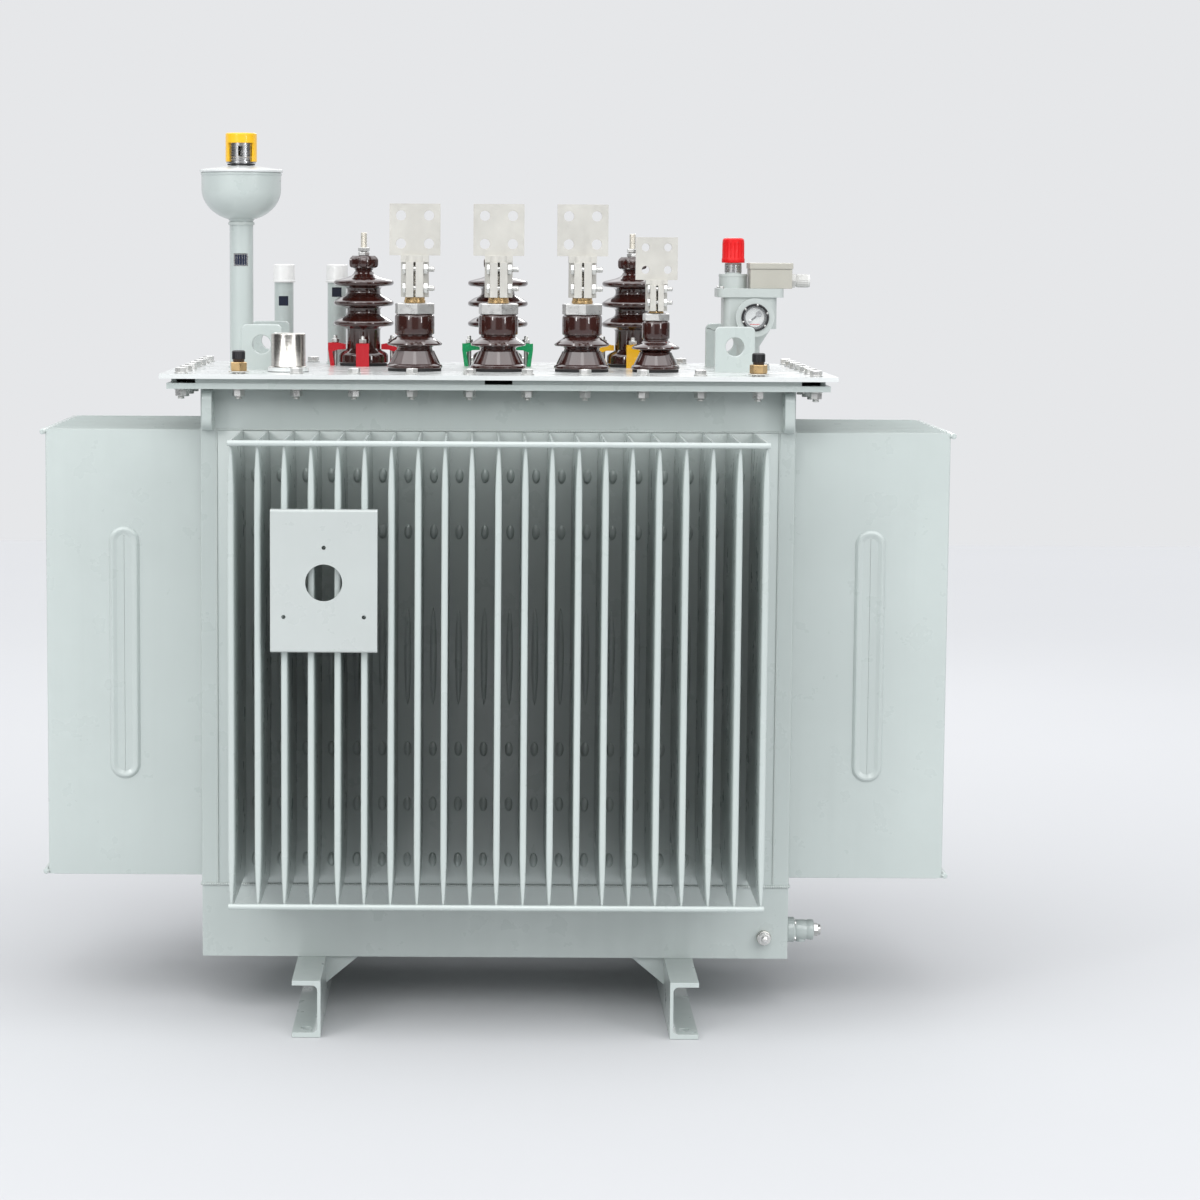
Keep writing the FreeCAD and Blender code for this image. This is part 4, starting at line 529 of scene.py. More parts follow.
def pressed_fin():
    """One hollow cooling fin: rounded front edge, ends squeezed to the welded seam."""
    obj = block(-FIN_THICK / 2, FIN_THICK / 2, -FIN_DEPTH, 0.5, FIN_LOW, FIN_HIGH)
    open_mesh(obj)
    choose("EDGE", lambda a, b: a.y < -FIN_DEPTH + 1 and b.y < -FIN_DEPTH + 1 and abs(a.z - b.z) > 10)
    bpy.ops.mesh.bevel(offset=3.6 * MM, segments=3, affect="EDGES")
    swell = ((0.0, 0.28), (10.0, 0.40), (26.0, 0.62), (52.0, 0.86), (88.0, 1.0))
    for rise, _ in swell[1:]:
        for z in (FIN_LOW + rise, FIN_HIGH - rise):
            whole_mesh()
            bpy.ops.mesh.bisect(plane_co=(0, 0, z * MM), plane_no=(0, 0, 1))
    for rise, share in swell:
        for z in (FIN_LOW + rise, FIN_HIGH - rise):
            choose("VERT", lambda p, z=z: abs(p.z - z) < 0.4)
            bpy.ops.transform.resize(value=(share, 1, 1), center_override=(0, 0, z * MM))
    close_mesh()
    return smooth(obj, 30.0)


def spacer_dome(height, width, rise):
    """A half-round pressing that stands off the wall towards -Y."""
    deselect()
    bpy.ops.mesh.primitive_uv_sphere_add(segments=10, ring_count=6, radius=0.5)
    obj = bpy.context.object
    obj.scale = (width * MM, rise * 2 * MM, height * MM)
    settle(obj)
    open_mesh(obj)
    whole_mesh()
    bpy.ops.mesh.bisect(plane_co=(0, 0.1 * MM, 0), plane_no=(0, 1, 0), clear_outer=True, use_fill=True)
    close_mesh()
    return smooth(obj, 60.0)


def stiffening_bead(x, side, low, high, width=54.0):
    """A long pressed bead on the broad face of an end fin; side gives the way it faces along X."""
    half = width / 2
    obj = block(-half, half, -4.2, 0.4, low, high)
    open_mesh(obj)
    choose("EDGE", lambda a, b: abs(a.x - b.x) < 1 and abs(a.z - b.z) < 1)
    bpy.ops.mesh.bevel(offset=(half - 0.6) * MM, segments=8, affect="EDGES")
    choose("FACE", lambda c, n: n.y < -0.9)
    bpy.ops.mesh.inset(thickness=4.5 * MM, depth=0)
    for rim in (3.0, 6.5):
        bpy.ops.mesh.inset(thickness=rim * MM, depth=(-2.6 if rim > 5 else 0.0) * MM)
    choose("VERT", lambda p: p.y < -4.0 and (abs(p.x) > half - 0.5 or not low + half < p.z < high - half)
        and math.hypot(p.x, max(0.0, low + half - p.z, p.z - high + half)) > half - 0.7)
    bpy.ops.transform.translate(value=(0, 3.7 * MM, 0))
    close_mesh()
    soften(obj, 1.1, 2, 12.0)
    obj.rotation_euler = (0, 0, math.radians(90 * side))
    settle(obj)
    return move(obj, x, -FIN_DEPTH / 2, 0)


def corrugated_wall(half_width, count):
    """A wall whose sheet lies on y = 0 and whose fins reach to y = -FIN_DEPTH."""
    span = (count - 1) / 2 * FIN_PITCH
    xs = [-span + i * FIN_PITCH for i in range(count)]
    sheet = block(-half_width, half_width, 0, 2.0, BAND_TOP, PANEL_TOP)
    parts = [soften(sheet, 0.6, 2), repeat(pressed_fin(), [(x, 0, 0) for x in xs])]
    gaps = [x + FIN_PITCH / 2 for x in xs[:-1]]
    parts.append(repeat(spacer_dome(26.0, 15.0, 6.0), [(x, 0, z) for x in gaps for z in DOME_HEIGHTS]))
    parts.append(repeat(spacer_dome(175.0, 13.0, 5.0), [(x, 0, LONG_DOME_HEIGHT) for x in gaps]))
    for side in (-1, 1):
        parts.append(stiffening_bead(side * (span + FIN_THICK / 2), side, *BEAD_ENDS))
    for part in parts:
        coated(part, paint)
    seams = [ripples((x, -FIN_DEPTH + 10, z), (x, -4, z), 1.7, weld_paint) for x in (xs[0], xs[-1])
        for z in (FIN_LOW + 0.6, FIN_HIGH - 0.6)]
    return join(parts + seams)


for name, long_side, turn in (("front", True, 0), ("back", True, 180), ("left", False, -90),
        ("right", False, 90)):
    half_width = WALL_X if long_side else WALL_Y
    wall = corrugated_wall(half_width, FINS_LONG if long_side else FINS_SHORT)
    wall.rotation_euler = (0, 0, math.radians(turn))
    settle(wall)
    reach = HALF_Y if long_side else HALF_X
    way = {"front": (0, -1), "back": (0, 1), "left": (-1, 0), "right": (1, 0)}[name]
    move(wall, way[0] * reach, way[1] * reach, 0)
    keep(wall, name + "_corrugated_wall", name + "_fin_wall")


def tie_rods():
    """Round rods welded across the fin tips, with a dab of weld at each fin."""
    parts = []
    for long_side in (True, False):
        count = FINS_LONG if long_side else FINS_SHORT
        half = (count - 1) / 2 * FIN_PITCH
        reach = (HALF_Y if long_side else HALF_X) + FIN_DEPTH + ROD / 2
        rod = turned([(ROD / 2, -half - 5), (ROD / 2, half + 5)], 20)
        lay(soften(rod, 1.2, 3), "X")
        coated(rod, paint)
        dab = bead(4.2, 2)
        dab.scale = (1.5, 0.9, 0.9)
        coated(smooth(settle(dab), 60.0), weld_paint)
        dabs = repeat(dab, [(-half + i * FIN_PITCH, 3.2, 0) for i in range(count)])
        one = join([rod, dabs])
        turns = (0, 180) if long_side else (-90, 90)
        for turn in turns:
            for z in (FIN_LOW + 4.5, FIN_HIGH - 4.5):
                new = copy_of(one)
                angle = math.radians(turn)
                new.rotation_euler = (0, 0, angle)
                new.location = Vector((reach * math.sin(angle), -reach * math.cos(angle), z)) * MM
                parts.append(new)
        bpy.data.objects.remove(one)
    return join(parts)


keep(tie_rods(), "fin_tie_rod_set", "fin_tie_rods")


# Tank shell

feet = dressed("foot_channels", 1.6, paint, 3)
feet_welds = [ripples((x, y0, 99.2), (x, y1, 99.2), 2.2, weld_paint)
    for x in (-FOOT_WEB_X - 0.5, FOOT_WEB_X + 0.5) for y0, y1 in ((-250, -160), (160, 250))]
keep(join([feet] + feet_welds), "channel_feet", "foot_channels")

pan = dressed("tank_base_pan", 1.6, paint, 3)


def seams_round_tank(z, out, size):
    """Level seams along the four walls of the tank."""
    seams = []
    for side in (-1, 1):
        x, y = side * (HALF_X + out), side * (HALF_Y + out)
        seams.append(ripples((-HALF_X + 3, y, z), (HALF_X - 3, y, z), size, weld_paint))
        seams.append(ripples((x, -HALF_Y + 3, z), (x, HALF_Y - 3, z), size, weld_paint))
    return seams


keep(join([pan] + seams_round_tank(BAND_TOP + 1.6, 0.8, 3.0)), "tank_bottom", "tank_base_pan")

posts = dressed("corner_posts", 1.4, paint, 3)
post_seams = [ripples((sx * x, sy * y, BAND_TOP + 3), (sx * x, sy * y, PANEL_TOP - 3), 2.1, weld_paint)
    for sx in (-1, 1) for sy in (-1, 1) for x, y in ((WALL_X, HALF_Y), (HALF_X, WALL_Y))]
keep(join([posts] + post_seams), "tank_corners", "corner_posts")

rim = dressed("tank_rim", 1.2, paint, 2)
rim_seams = seams_round_tank(PANEL_TOP, 0.2, 2.2) + seams_round_tank(FLANGE_LOW - 0.6, 0.2, 2.2)
keep(join([rim] + rim_seams), "tank_top_rim", "tank_rim")

ears = dressed("tank_lifting_plates", 1.8, paint, 3)
ear_welds = [ripples((sx * x, y, PANEL_TOP + 4), (sx * x, y, FLANGE_LOW - 4), 2.4, weld_paint)
    for sx in (-1, 1) for y in (-HALF_Y - 0.4, HALF_Y + 0.4) for x in (500.0, 518.0)]
keep(join([ears] + ear_welds), "side_lifting_plates", "tank_lifting_plates")

keep(dressed("cover_gasket", 0.8, rubber), "cover_rubber", "cover_gasket")
keep(dressed("cover_plate", 1.4, cover_paint, 3), "tank_cover", "cover_plate")
lugs = dressed("cover_lifting_lugs", 2.2, paint, 3)
lug_welds = [ripples((x - 35, y, COVER_TOP + 0.4), (x + 35, y, COVER_TOP + 0.4), 2.4, weld_paint)
    for x in (-LUG_X, LUG_X) for y in (-LUG_Y - 5.0, -LUG_Y + 5.0, LUG_Y - 5.0, LUG_Y + 5.0)]
keep(join([lugs] + lug_welds), "cover_lugs", "cover_lifting_lugs")
plate = dressed("thermometer_plate", 0.9, plate_paint, 3)
keep(plate, "gauge_mounting_plate", "thermometer_plate")


# Fasteners on the cover

WASHER = 2.5
NUT = 10.8
BOLT_END = 5.0


def washer(outer, bore, thick):
    obj = turned([(bore, 0), (outer, 0), (outer, thick), (bore, thick)], 24, hollow=True)
    return coated(soften(obj, 0.4, 1), zinc)


def cover_fasteners():
    plain = [(x, y) for x, y in cover_bolt_places()
        if min(abs(x - bx) + abs(y - by) for bx, by in BONDED) > 1]
    top = COVER_TOP + WASHER
    low = FLANGE_LOW - WASHER - NUT - BOLT_END
    head = hexagon(19.0, 8.0, 0.7)
    dome = coated(soften(turned([(6.5, 0), (6.0, 0.5), (2.0, 0.8)], 16), 0.1, 1), zinc)
    bolt = join([move(head, 0, 0, top), move(dome, 0, 0, top + 7.9)])
    end = lathe([(4.8, low), (6.0, low + 1.2)] + [(r, FLANGE_LOW - z) for r, z in ((6.0, 16.6), (5.2, 15.8),
        (6.0, 15.0), (5.2, 14.2), (6.0, 13.4), (6.0, 2.0))], 16, zinc, 50.0)
    nut = move(hexagon(19.0, NUT, 0.6, 6.1), 0, 0, FLANGE_LOW - WASHER - NUT)
    upper = move(washer(12.0, 6.1, WASHER), 0, 0, COVER_TOP)
    lower = move(washer(12.0, 6.1, WASHER), 0, 0, FLANGE_LOW - WASHER)
    sets = [(x, y, 0, 17 * i % 60) for i, (x, y) in enumerate(cover_bolt_places())]
    heads = repeat(bolt, [(x, y, 0, 23 * i % 60) for i, (x, y) in enumerate(plain)])
    under = repeat(join([end, nut, upper, lower]), sets)
    shanks = turned([(6.0, COVER_TOP - 4), (6.0, COVER_TOP + 16.5), (5.0, COVER_TOP + 24.5)], 16)
    shanks = repeat(coated(smooth(shanks), zinc), [(x, y, 0) for x, y in BONDED])
    return join([heads, under, shanks])


keep(cover_fasteners(), "cover_fastener_set", "cover_bolts")


# Low voltage bushings

def lv_porcelain(b):
    base, waist, shed, neck, cap = b["base"], b["waist"], b["shed"], b["neck"], b["cap"]
    bh, sh, cl, ch = b["base_high"], b["shed_high"], b["cap_low"], b["cap_high"]
    outline = [(waist - 4, -50), (waist - 1, -46), (waist - 1, 0), (base - 1.5, 0), (base, 1.5),
        (base, 4.5), (base - 1.5, 6.5), (base - 4, 8.0), (base - 5.5, 11.5), (base - 9, bh * 0.62),
        (waist + 4.5, bh - 4), (waist + 3.0, bh), (waist, bh + 1.5), (waist - 1, sh - 9),
        (waist + 2, sh - 6.5), (shed - 5, sh - 4.6), (shed - 1.5, sh - 4.0), (shed, sh - 2.2),
        (shed - 0.3, sh - 0.4), (shed - 2.5, sh + 1.4), (neck + 8.5, sh + 5.5), (neck + 5.0, cl - 7.5),
        (neck + 2.5, cl - 6.0), (neck + 1.0, cl - 4.2), (neck - 1.5, cl - 2.8), (neck - 1.5, cl - 0.8),
        (cap - 2.2, cl), (cap - 0.5, cl + 1.4), (cap, cl + 3.5), (cap, ch - 4.5), (cap - 0.8, ch - 2),
        (cap - 3.2, ch), (b["stud"] + 0.3, ch)]
    return lathe(outline, 56, glaze, 32.0)


def lv_set(maker):
    return join([move(maker(b), x, LV_Y, SEAT) for x, b in LV])


keep(lv_set(lv_porcelain), "low_voltage_porcelains", "lv_porcelains")


def lv_ring(b):
    r, h = b["ring"], b["ring_high"]
    z = b["cap_high"] + b["nut_high"]
    obj = turned([(b["stud"] + 0.2, z), (r - 1.2, z), (r, z + 1.0), (r, z + h * 0.45),
        (r - 1.2, z + h * 0.55), (r - 1.2, z + h - 1.0), (r - 2.0, z + h), (b["stud"] + 0.2, z + h)], 40,
        hollow=True)
    return coated(soften(obj, 0.3, 2), brass)


keep(lv_set(lv_ring), "low_voltage_rings", "lv_brass_rings")


def stud_piece(radius, low, high, thread_from, pitch):
    outline = [(radius - 1, low), (radius, low + 1), (radius, thread_from)]
    return lathe(outline + thread(radius, thread_from, high, pitch), 24, stud_tin, 50.0)


def lv_stud(b):
    high = b["cap_high"] + b["nut_high"] + b["ring_high"] + b["barrel_high"] - 13.0
    return stud_piece(b["stud"], -70.0, high, b["cap_high"] + 2, 3.0)


studs = [move(lv_stud(b), x, LV_Y, SEAT) for x, b in LV]
hv_stud_top = HV_TOP + HV_HEAD + 43.0
studs += [move(stud_piece(6.0, -85.0, hv_stud_top, HV_TOP + HV_HEAD, 1.75), x, HV_Y, SEAT) for x in HV_X]
keep(join(studs), "terminal_stud_set", "terminal_studs")

nuts = []
for x, b in LV:
    nut = hexagon(b["nut"], b["nut_high"], 2.2, b["stud"] + 0.2)
    nut.rotation_euler = (0, 0, math.radians(8))
    nuts.append(move(settle(nut), x, LV_Y, SEAT + b["cap_high"]))
for i, x in enumerate(HV_X):
    for k in range(2):
        nut = hexagon(19.0, 7.5, 1.2, 6.2)
        nut.rotation_euler = (0, 0, math.radians(12 + 21 * k + 17 * i))
        nuts.append(move(settle(nut), x, HV_Y, SEAT + HV_TOP + HV_HEAD + 8.0 * k))
keep(join(nuts), "terminal_nut_set", "terminal_nuts")

keep(dressed("lv_terminal_clamps", 0.8, tin, 2, merged=False), "low_voltage_palms", "lv_terminal_clamps")
keep(dressed("bushing_gaskets", 0.6, rubber, 2), "bushing_rubbers", "bushing_gaskets")


def clamp_bolts(b):
    """The two cross bolts of one terminal clamp, along X from its centre."""
    half = b["barrel"] * EAR_SHARE
    dia = b["bolt"]
    flats = dia * 1.7
    y = -(b["stud"] + dia / 2 + 3.0)
    z0 = b["cap_high"] + b["nut_high"] + b["ring_high"]
    parts = []
    for z in b["bolts"]:
        head = lay(hexagon(flats, dia * 0.6, 0.9), "X")
        parts.append(move(head, -half - dia * 0.6, y, z0 + z))
        nut = lay(hexagon(flats, dia * 0.8, 0.9, dia / 2 + 0.1), "X")
        parts.append(move(nut, half, y, z0 + z))
        outline = [(dia / 2, -half), (dia / 2, half)] + thread(dia / 2, half, half + dia * 2.0, 1.5)
        parts.append(move(lay(lathe(outline, 16, zinc, 50.0), "X"), 0, y, z0 + z))
    return join(parts)


# High voltage bushings

def hv_porcelain():
    body, shed, neck, head = 31.0, 56.0, 18.0, 27.0
    outline = [(22, -66), (body - 1, -60), (body - 1, 0), (44.5, 0), (46, 1.5), (46, 14), (45, 17),
        (41, 20.5), (body + 3, 23.5), (body, 27)]
    for i, edge in enumerate((76.0, 113.5, 151.0)):
        upper = body if i < 2 else neck
        outline += [(body, edge - 15), (body + 1.5, edge - 11.5), (body + 5, edge - 9.6),
            (shed - 12, edge - 8.0), (shed - 4, edge - 7.2), (shed - 1.4, edge - 5.6),
            (shed - 0.2, edge - 3.2), (shed, edge - 0.8), (shed - 1.0, edge + 1.4),
            (shed - 3.4, edge + 3.0), (upper + 14, edge + 8.2), (upper + 5, edge + 11.5),
            (upper + 1, edge + 15), (upper, edge + 18)]
    outline += [(neck - 2, HV_TOP - 6), (neck, HV_TOP - 2), (head - 4, HV_TOP), (head - 1, HV_TOP + 2),
        (head, HV_TOP + 6), (head, HV_TOP + 14), (head - 1.5, HV_TOP + 18), (head - 6, HV_TOP + 22),
        (6.3, HV_TOP + 22)]
    obj = turned(outline, 64)
    open_mesh(obj)
    for k in range(8):
        angle = math.radians(45 * k + 22.5)
        way = Vector((math.cos(angle), math.sin(angle), 0))
        choose("VERT", lambda p, way=way: p.z > HV_TOP + 0.5 and p.xy.length > 18
            and p.xy.to_3d().normalized().dot(way) > 0.9915)
        bpy.ops.transform.resize(value=(0.84, 0.84, 1.0), center_override=(0, 0, HV_TOP * MM))
    close_mesh()
    return coated(smooth(obj, 34.0), glaze)


keep(repeat(hv_porcelain(), [(x, HV_Y, SEAT) for x in HV_X]), "high_voltage_porcelains", "hv_porcelains")
for colour, material in (("red", claw_red), ("green", claw_green), ("yellow", claw_yellow)):
    keep(dressed("hv_claws_" + colour, 1.6, material, 3), colour + "_hold_down_claws", "hv_claws_" + colour)

claw_top = SEAT + CLAW_HIGH
claw_nut = hexagon(13.0, 8.0, 1.0, 4.1)
claw_stud = lathe([(4.0, COVER_TOP - claw_top)] + thread(4.0, 0, 14.0, 1.25), 16, zinc, 50.0)
claw_set = join([claw_nut, claw_stud])
holding = [repeat(claw_set, [(x, y, claw_top, turn + 11 * i) for i, (x, y, turn) in enumerate(CLAWS)])]
holding += [move(clamp_bolts(b), x, LV_Y, SEAT) for x, b in LV]
keep(join(holding), "bushing_fastener_set", "bushing_bolts")


# Oil filler, cup and relief valve

NECK = COVER_TOP + 266.0
SHOULDER = NECK + 58.0
CUP_RIM = SHOULDER + 30.0
VALVE_LOW = CUP_RIM + 12.0
VALVE_BODY = VALVE_LOW + 7.0


def filler():
    tube_body = dressed("filler_pipe", 0.5, paint, 2)
    foot = ripples_round(*FILLER, COVER_TOP + 0.6, 21.8, 2.6)
    collar = lathe([(21.4, 0), (23.6, 0), (24.2, 1.5), (23.6, 5.0), (21.4, 6.0)], 40, weld_paint, 50.0,
        hollow=True)
    collar = move(collar, *FILLER, NECK - 7.0)
    y0 = FILLER[1] - math.sqrt(18.5 ** 2 - 13.0 ** 2)
    z0 = COVER_TOP + 196.0
    bars = []
    for x in (-11.6, 11.6):
        bars.append(block(x - 1.4, x + 1.4, -1.0, 1.5, -11.5, 11.5))
    for z in (-10.4, 10.4):
        bars.append(block(-11.6, 11.6, -1.0, 1.5, z - 1.1, z + 1.1))
    for k in range(4):
        bars.append(block(-6.9 + 4.6 * k - 0.5, -6.9 + 4.6 * k + 0.5, -0.6, 1.0, -9.5, 9.5))
    frame_bars = join([coated(soften(bar, 0.3, 1), steel) for bar in bars])
    move(frame_bars, FILLER[0], y0 - 3.2, z0)
    return join([tube_body, foot, collar, frame_bars])


def ripples_round(x, y, z, radius, size):
    """A ring of weld ripples round an upright tube."""
    count = round(2 * math.pi * radius / (size * 1.35))
    return coated(repeat(bead(size), round_places(x, y, z, radius, count)), weld_paint)


keep(filler(), "oil_filler_tube", "filler_pipe")

bowl_out = []
bowl_in = []
for i in range(15):
    angle = math.pi / 2 * i / 14
    bowl_out.append((72.5 * math.cos(angle), -58.0 * math.sin(angle)))
    bowl_in.append((70.0 * math.cos(angle), -55.5 * math.sin(angle)))
outer = [p for p in bowl_out if p[0] > 23.0][::-1]
inner = [p for p in bowl_in if p[0] > 21.5]
cup_outline = ([(18.5, -58.0), (21.5, -58.0)] + outer + [(72.5, 24.0), (73.4, 25.0), (73.8, 27.0),
    (73.4, 29.0), (72.0, 30.0), (70.0, 30.0)] + inner + [(18.5, -55.5)])
cup = move(lathe(cup_outline, 64, paint, 32.0, hollow=True), *FILLER, SHOULDER)
keep(cup, "oil_bowl", "oil_cup")

lid_outline = [(17.2, 0), (68.5, 0), (69.6, -4), (69.9, 0), (75.2, 0), (76.0, 1.0), (76.0, 4.0),
    (75.0, 5.0), (71.0, 5.6), (45.0, 9.2), (25.0, 11.4), (21.0, 12.0), (17.2, 12.0)]
lid = move(lathe(lid_outline, 64, cover_paint, 30.0, hollow=True), *FILLER, CUP_RIM)
keep(lid, "oil_bowl_lid", "oil_cup_lid")

valve = dressed("relief_valve_body", 0.6, steel, 2)
valve_ring = lathe([(20.4, 0), (24.8, 0), (25.4, 1.2), (24.8, 2.4), (20.4, 2.4)], 40, rubber, 50.0,
    hollow=True)
valve_ring = move(valve_ring, *FILLER, VALVE_LOW + 1.0)
spring_ribs = turned([(24.1, 0), (24.7, 0.6), (24.1, 1.2)], 36, hollow=True)
ribs = [copy_of(spring_ribs) for _ in range(3)]
for k, rib in enumerate(ribs):
    coated(move(rib, *FILLER, VALVE_BODY + 3.0 + 2.2 * k), steel)
bpy.data.objects.remove(spring_ribs)
keep(join([valve, valve_ring] + ribs), "relief_valve_housing", "relief_valve_body")

spring = dressed("relief_valve_spring", 0.01, steel, 1)
keep(spring, "relief_spring", "relief_valve_spring")
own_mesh(spring)

stem_low = VALVE_BODY + 4.3
stem = lathe([(16.2, 0), (17.0, 0.8), (17.0, 3.2), (16.2, 4.0), (6.5, 4.4), (4.6, 6.0), (4.0, 9.0),
    (4.0, 34.9), (3.2, 35.7)], 36, steel, 35.0)
stem = move(stem, *FILLER, stem_low)
keep(stem, "relief_disc_and_stem", "relief_valve_stem", "relief_valve_stem")

hood = dressed("relief_valve_cap", 0.8, cap_yellow, 3)
keep(hood, "relief_valve_hood", "relief_valve_cap", "relief_valve_cap")


# Gauge tubes

tubes = [dressed("gauge_tubes", 0.4, paint, 2)]
tubes += [ripples_round(x, GAUGE_Y, COVER_TOP + 0.6, 18.3, 2.4) for _, x in GAUGES]
keep(join(tubes), "level_gauge_tubes", "gauge_tubes")

gauge_low = COVER_TOP + GAUGE_HIGH + 0.3 + 2.5 - GAUGE_CAP_HIGH
for side, x in GAUGES:
    cap = turned([(18.4, 0), (21.3, 0), (21.5, 0.8), (21.5, 3.4), (20.7, 4.2), (20.4, 5.0), (20.2, 31.4),
        (19.6, 33.0), (18.0, 34.0), (1.0, 34.0), (1.0, 31.5), (18.4, 31.5)], 48, hollow=True)
    smooth(cap, 32.0)
    crown = coated(turned([(16.0, 33.6), (15.4, 34.4)], 32), cap_white)
    dots = repeat(bead(1.1), round_places(0, 0, 7.4, 20.1, 24))
    for part in (cap, dots):
        coated(part, cap_white)
    body = "gauge_cap_" + side
    cap = move(join([cap, dots, crown]), x, GAUGE_Y, gauge_low)
    keep(cap, "gauge_" + side + "_cap", body, body)

keep(dressed("sight_windows", 0.5, sight, 2), "sight_glasses", "sight_windows")


# Tap changer

tap_base = dressed("tap_changer_base", 0.8, cover_paint, 2)
tap_seal = lathe([(31.5, 0), (36.2, 0), (36.7, 0.9), (36.2, 1.8), (31.5, 1.8)], 48, rubber, 50.0,
    hollow=True)
tap_seal = move(tap_seal, *TAP, COVER_TOP + 0.1)
tap_screws = repeat(hexagon(7.0, 2.6, 0.5), round_places(*TAP, COVER_TOP + 7.6, 34.0, 6, 30.0))
keep(join([tap_base, tap_seal, tap_screws]), "tap_changer_flange", "tap_changer_base")
tap_can = lathe([(29.5, 0), (30.6, 0), (31.0, 0.5), (31.0, 2.0), (30.6, 2.6), (30.6, 56.5), (30.2, 58.6),
    (28.6, 59.8), (26.0, 60.0), (25.0, 59.4), (2.0, 59.2), (2.0, 58.5), (29.5, 58.5)], 72, stainless, 34.0,
    hollow=True)
tap_can = move(tap_can, *TAP, COVER_TOP + 8.3)
keep(tap_can, "tap_changer_can", "tap_changer_cap", "tap_changer_cap")
tap_knob = dressed("tap_changer_knob", 0.7, bakelite, 2)
pointer = block(TAP[0] - 0.8, TAP[0] + 0.8, TAP[1] - 15.0, TAP[1] - 4.0, COVER_TOP + 42.2, COVER_TOP + 42.6)
keep(join([tap_knob, coated(soften(pointer, 0.15, 1), cap_white)]), "tap_selector_knob", "tap_changer_knob",
    "tap_changer_knob")


# Protection relay

RX, RY = RELAY
DECK = COVER_TOP + 133.0 + 16.0
WINDOW_X = RX + 7.5
WINDOW_Z = COVER_TOP + 97.0
FACE_Y = RY - 42.0 - 14.0
TURRET_X = RX - 29.5
BOX_X = RX + 37.5

relay = [dressed("relay_body", 1.6, casting, 3), ripples_round(RX, RY, COVER_TOP + 8.2, 22.0, 2.2)]
relay.append(repeat(hexagon(10.0, 5.0, 0.7), round_places(RX, RY, COVER_TOP + 8.0, 33.0, 6, 0.0, 25.0)))
keep(join(relay), "relay_chamber", "relay_body")

relay_top = [dressed("relay_cover", 1.2, casting, 3)]
relay_top.append(repeat(hexagon(8.0, 3.6, 0.6), [(RX - 52.0, RY + sy * 38.0, DECK - 0.2, 14.0)
    for sy in (-1, 1)]))
turret_ring = lathe([(25.6, 0), (26.2, 0.4), (26.2, 3.2), (25.6, 3.6)], 48, casting, 50.0, hollow=True)
turret_ring = move(turret_ring, TURRET_X, RY, DECK + 21.0)
knurl = turned([(14.9, 0), (15.6, 0.8), (15.6, 15.2), (14.9, 16.0)], 36)
grooved(knurl, 1.0, 15.0, 0.0, 10.0, odd, 0.5)
knurl = coated(move(smooth(knurl, 25.0), TURRET_X, RY, DECK + 28.0), steel)
keep(join(relay_top + [turret_ring, knurl]), "relay_top_plate", "relay_cover")

red = turned([(10.6, 0), (20.4, 0), (21.0, 1.2), (21.0, 7.0), (20.2, 8.4), (20.0, 36.0), (19.4, 41.5),
    (17.2, 44.2), (13.0, 45.0), (1.0, 45.0), (1.0, 37.2), (10.6, 37.2)], 54, hollow=True)
grooved(red, 9.0, 36.0, 17.0, 6.667, lambda number: number % 3 == 0, 0.7, 0.4)
red = coated(move(smooth(red, 30.0), TURRET_X, RY, DECK + 46.3), cap_red)
keep(red, "relay_gas_valve_cap", "relay_valve_cap", "relay_valve_cap")


def relay_front():
    """Window: black ring with screws, glass, pale dial and the lever of the float behind it."""
    ring = lathe([(20.8, -1.0), (25.0, -1.0), (25.0, 2.0), (24.2, 3.0), (22.0, 3.0), (21.0, 2.2)], 56,
        cap_black, 32.0, hollow=True)
    pane = coated(soften(turned([(20.9, -3.6), (20.9, -0.4)], 48), 0.3, 2), clear)
    dial = coated(soften(turned([(20.4, -9.0), (20.4, -8.0)], 48), 0.2, 1), dial_white)
    trim = turned([(17.0, -8.0), (20.3, -8.0), (20.3, -7.2), (17.0, -7.4)], 48, hollow=True)
    parts = [ring, pane, dial, coated(smooth(trim, 40.0), cap_black)]
    for place in round_places(0, 0, 0, 23.0, 6, 20.0):
        screw = coated(soften(turned([(1.9, 3.0), (1.7, 3.9), (0.7, 4.0)], 14), 0.1, 1), zinc)
        parts.append(move(screw, *place))
    lever = block(-14.0, 13.0, -1.6, 1.6, -7.2, -6.0)
    lever.rotation_euler = (0, 0, math.radians(38))
    parts.append(coated(soften(settle(lever), 0.4, 2), cap_black))
    bob = lathe([(4.6, -7.6), (5.4, -6.8), (5.4, -5.2), (4.6, -4.6)], 28, steel, 35.0)
    hub = lathe([(3.2, -7.4), (3.2, -5.2), (2.6, -4.8)], 20, steel, 35.0)
    parts += [move(bob, 7.0, 6.0, 0), move(hub, -8.5, -7.0, 0)]
    scale = block(-9.0, 9.0, -13.4, -11.8, -8.0, -7.4)
    parts.append(coated(soften(scale, 0.2, 1), cap_red))
    front = lay(join(parts), "-Y")
    return move(front, WINDOW_X, FACE_Y, WINDOW_Z)


keep(relay_front(), "relay_sight_window", "relay_window")
keep(dressed("relay_float", 1.5, float_red, 3), "relay_gas_float", "relay_float",
    "relay_float")

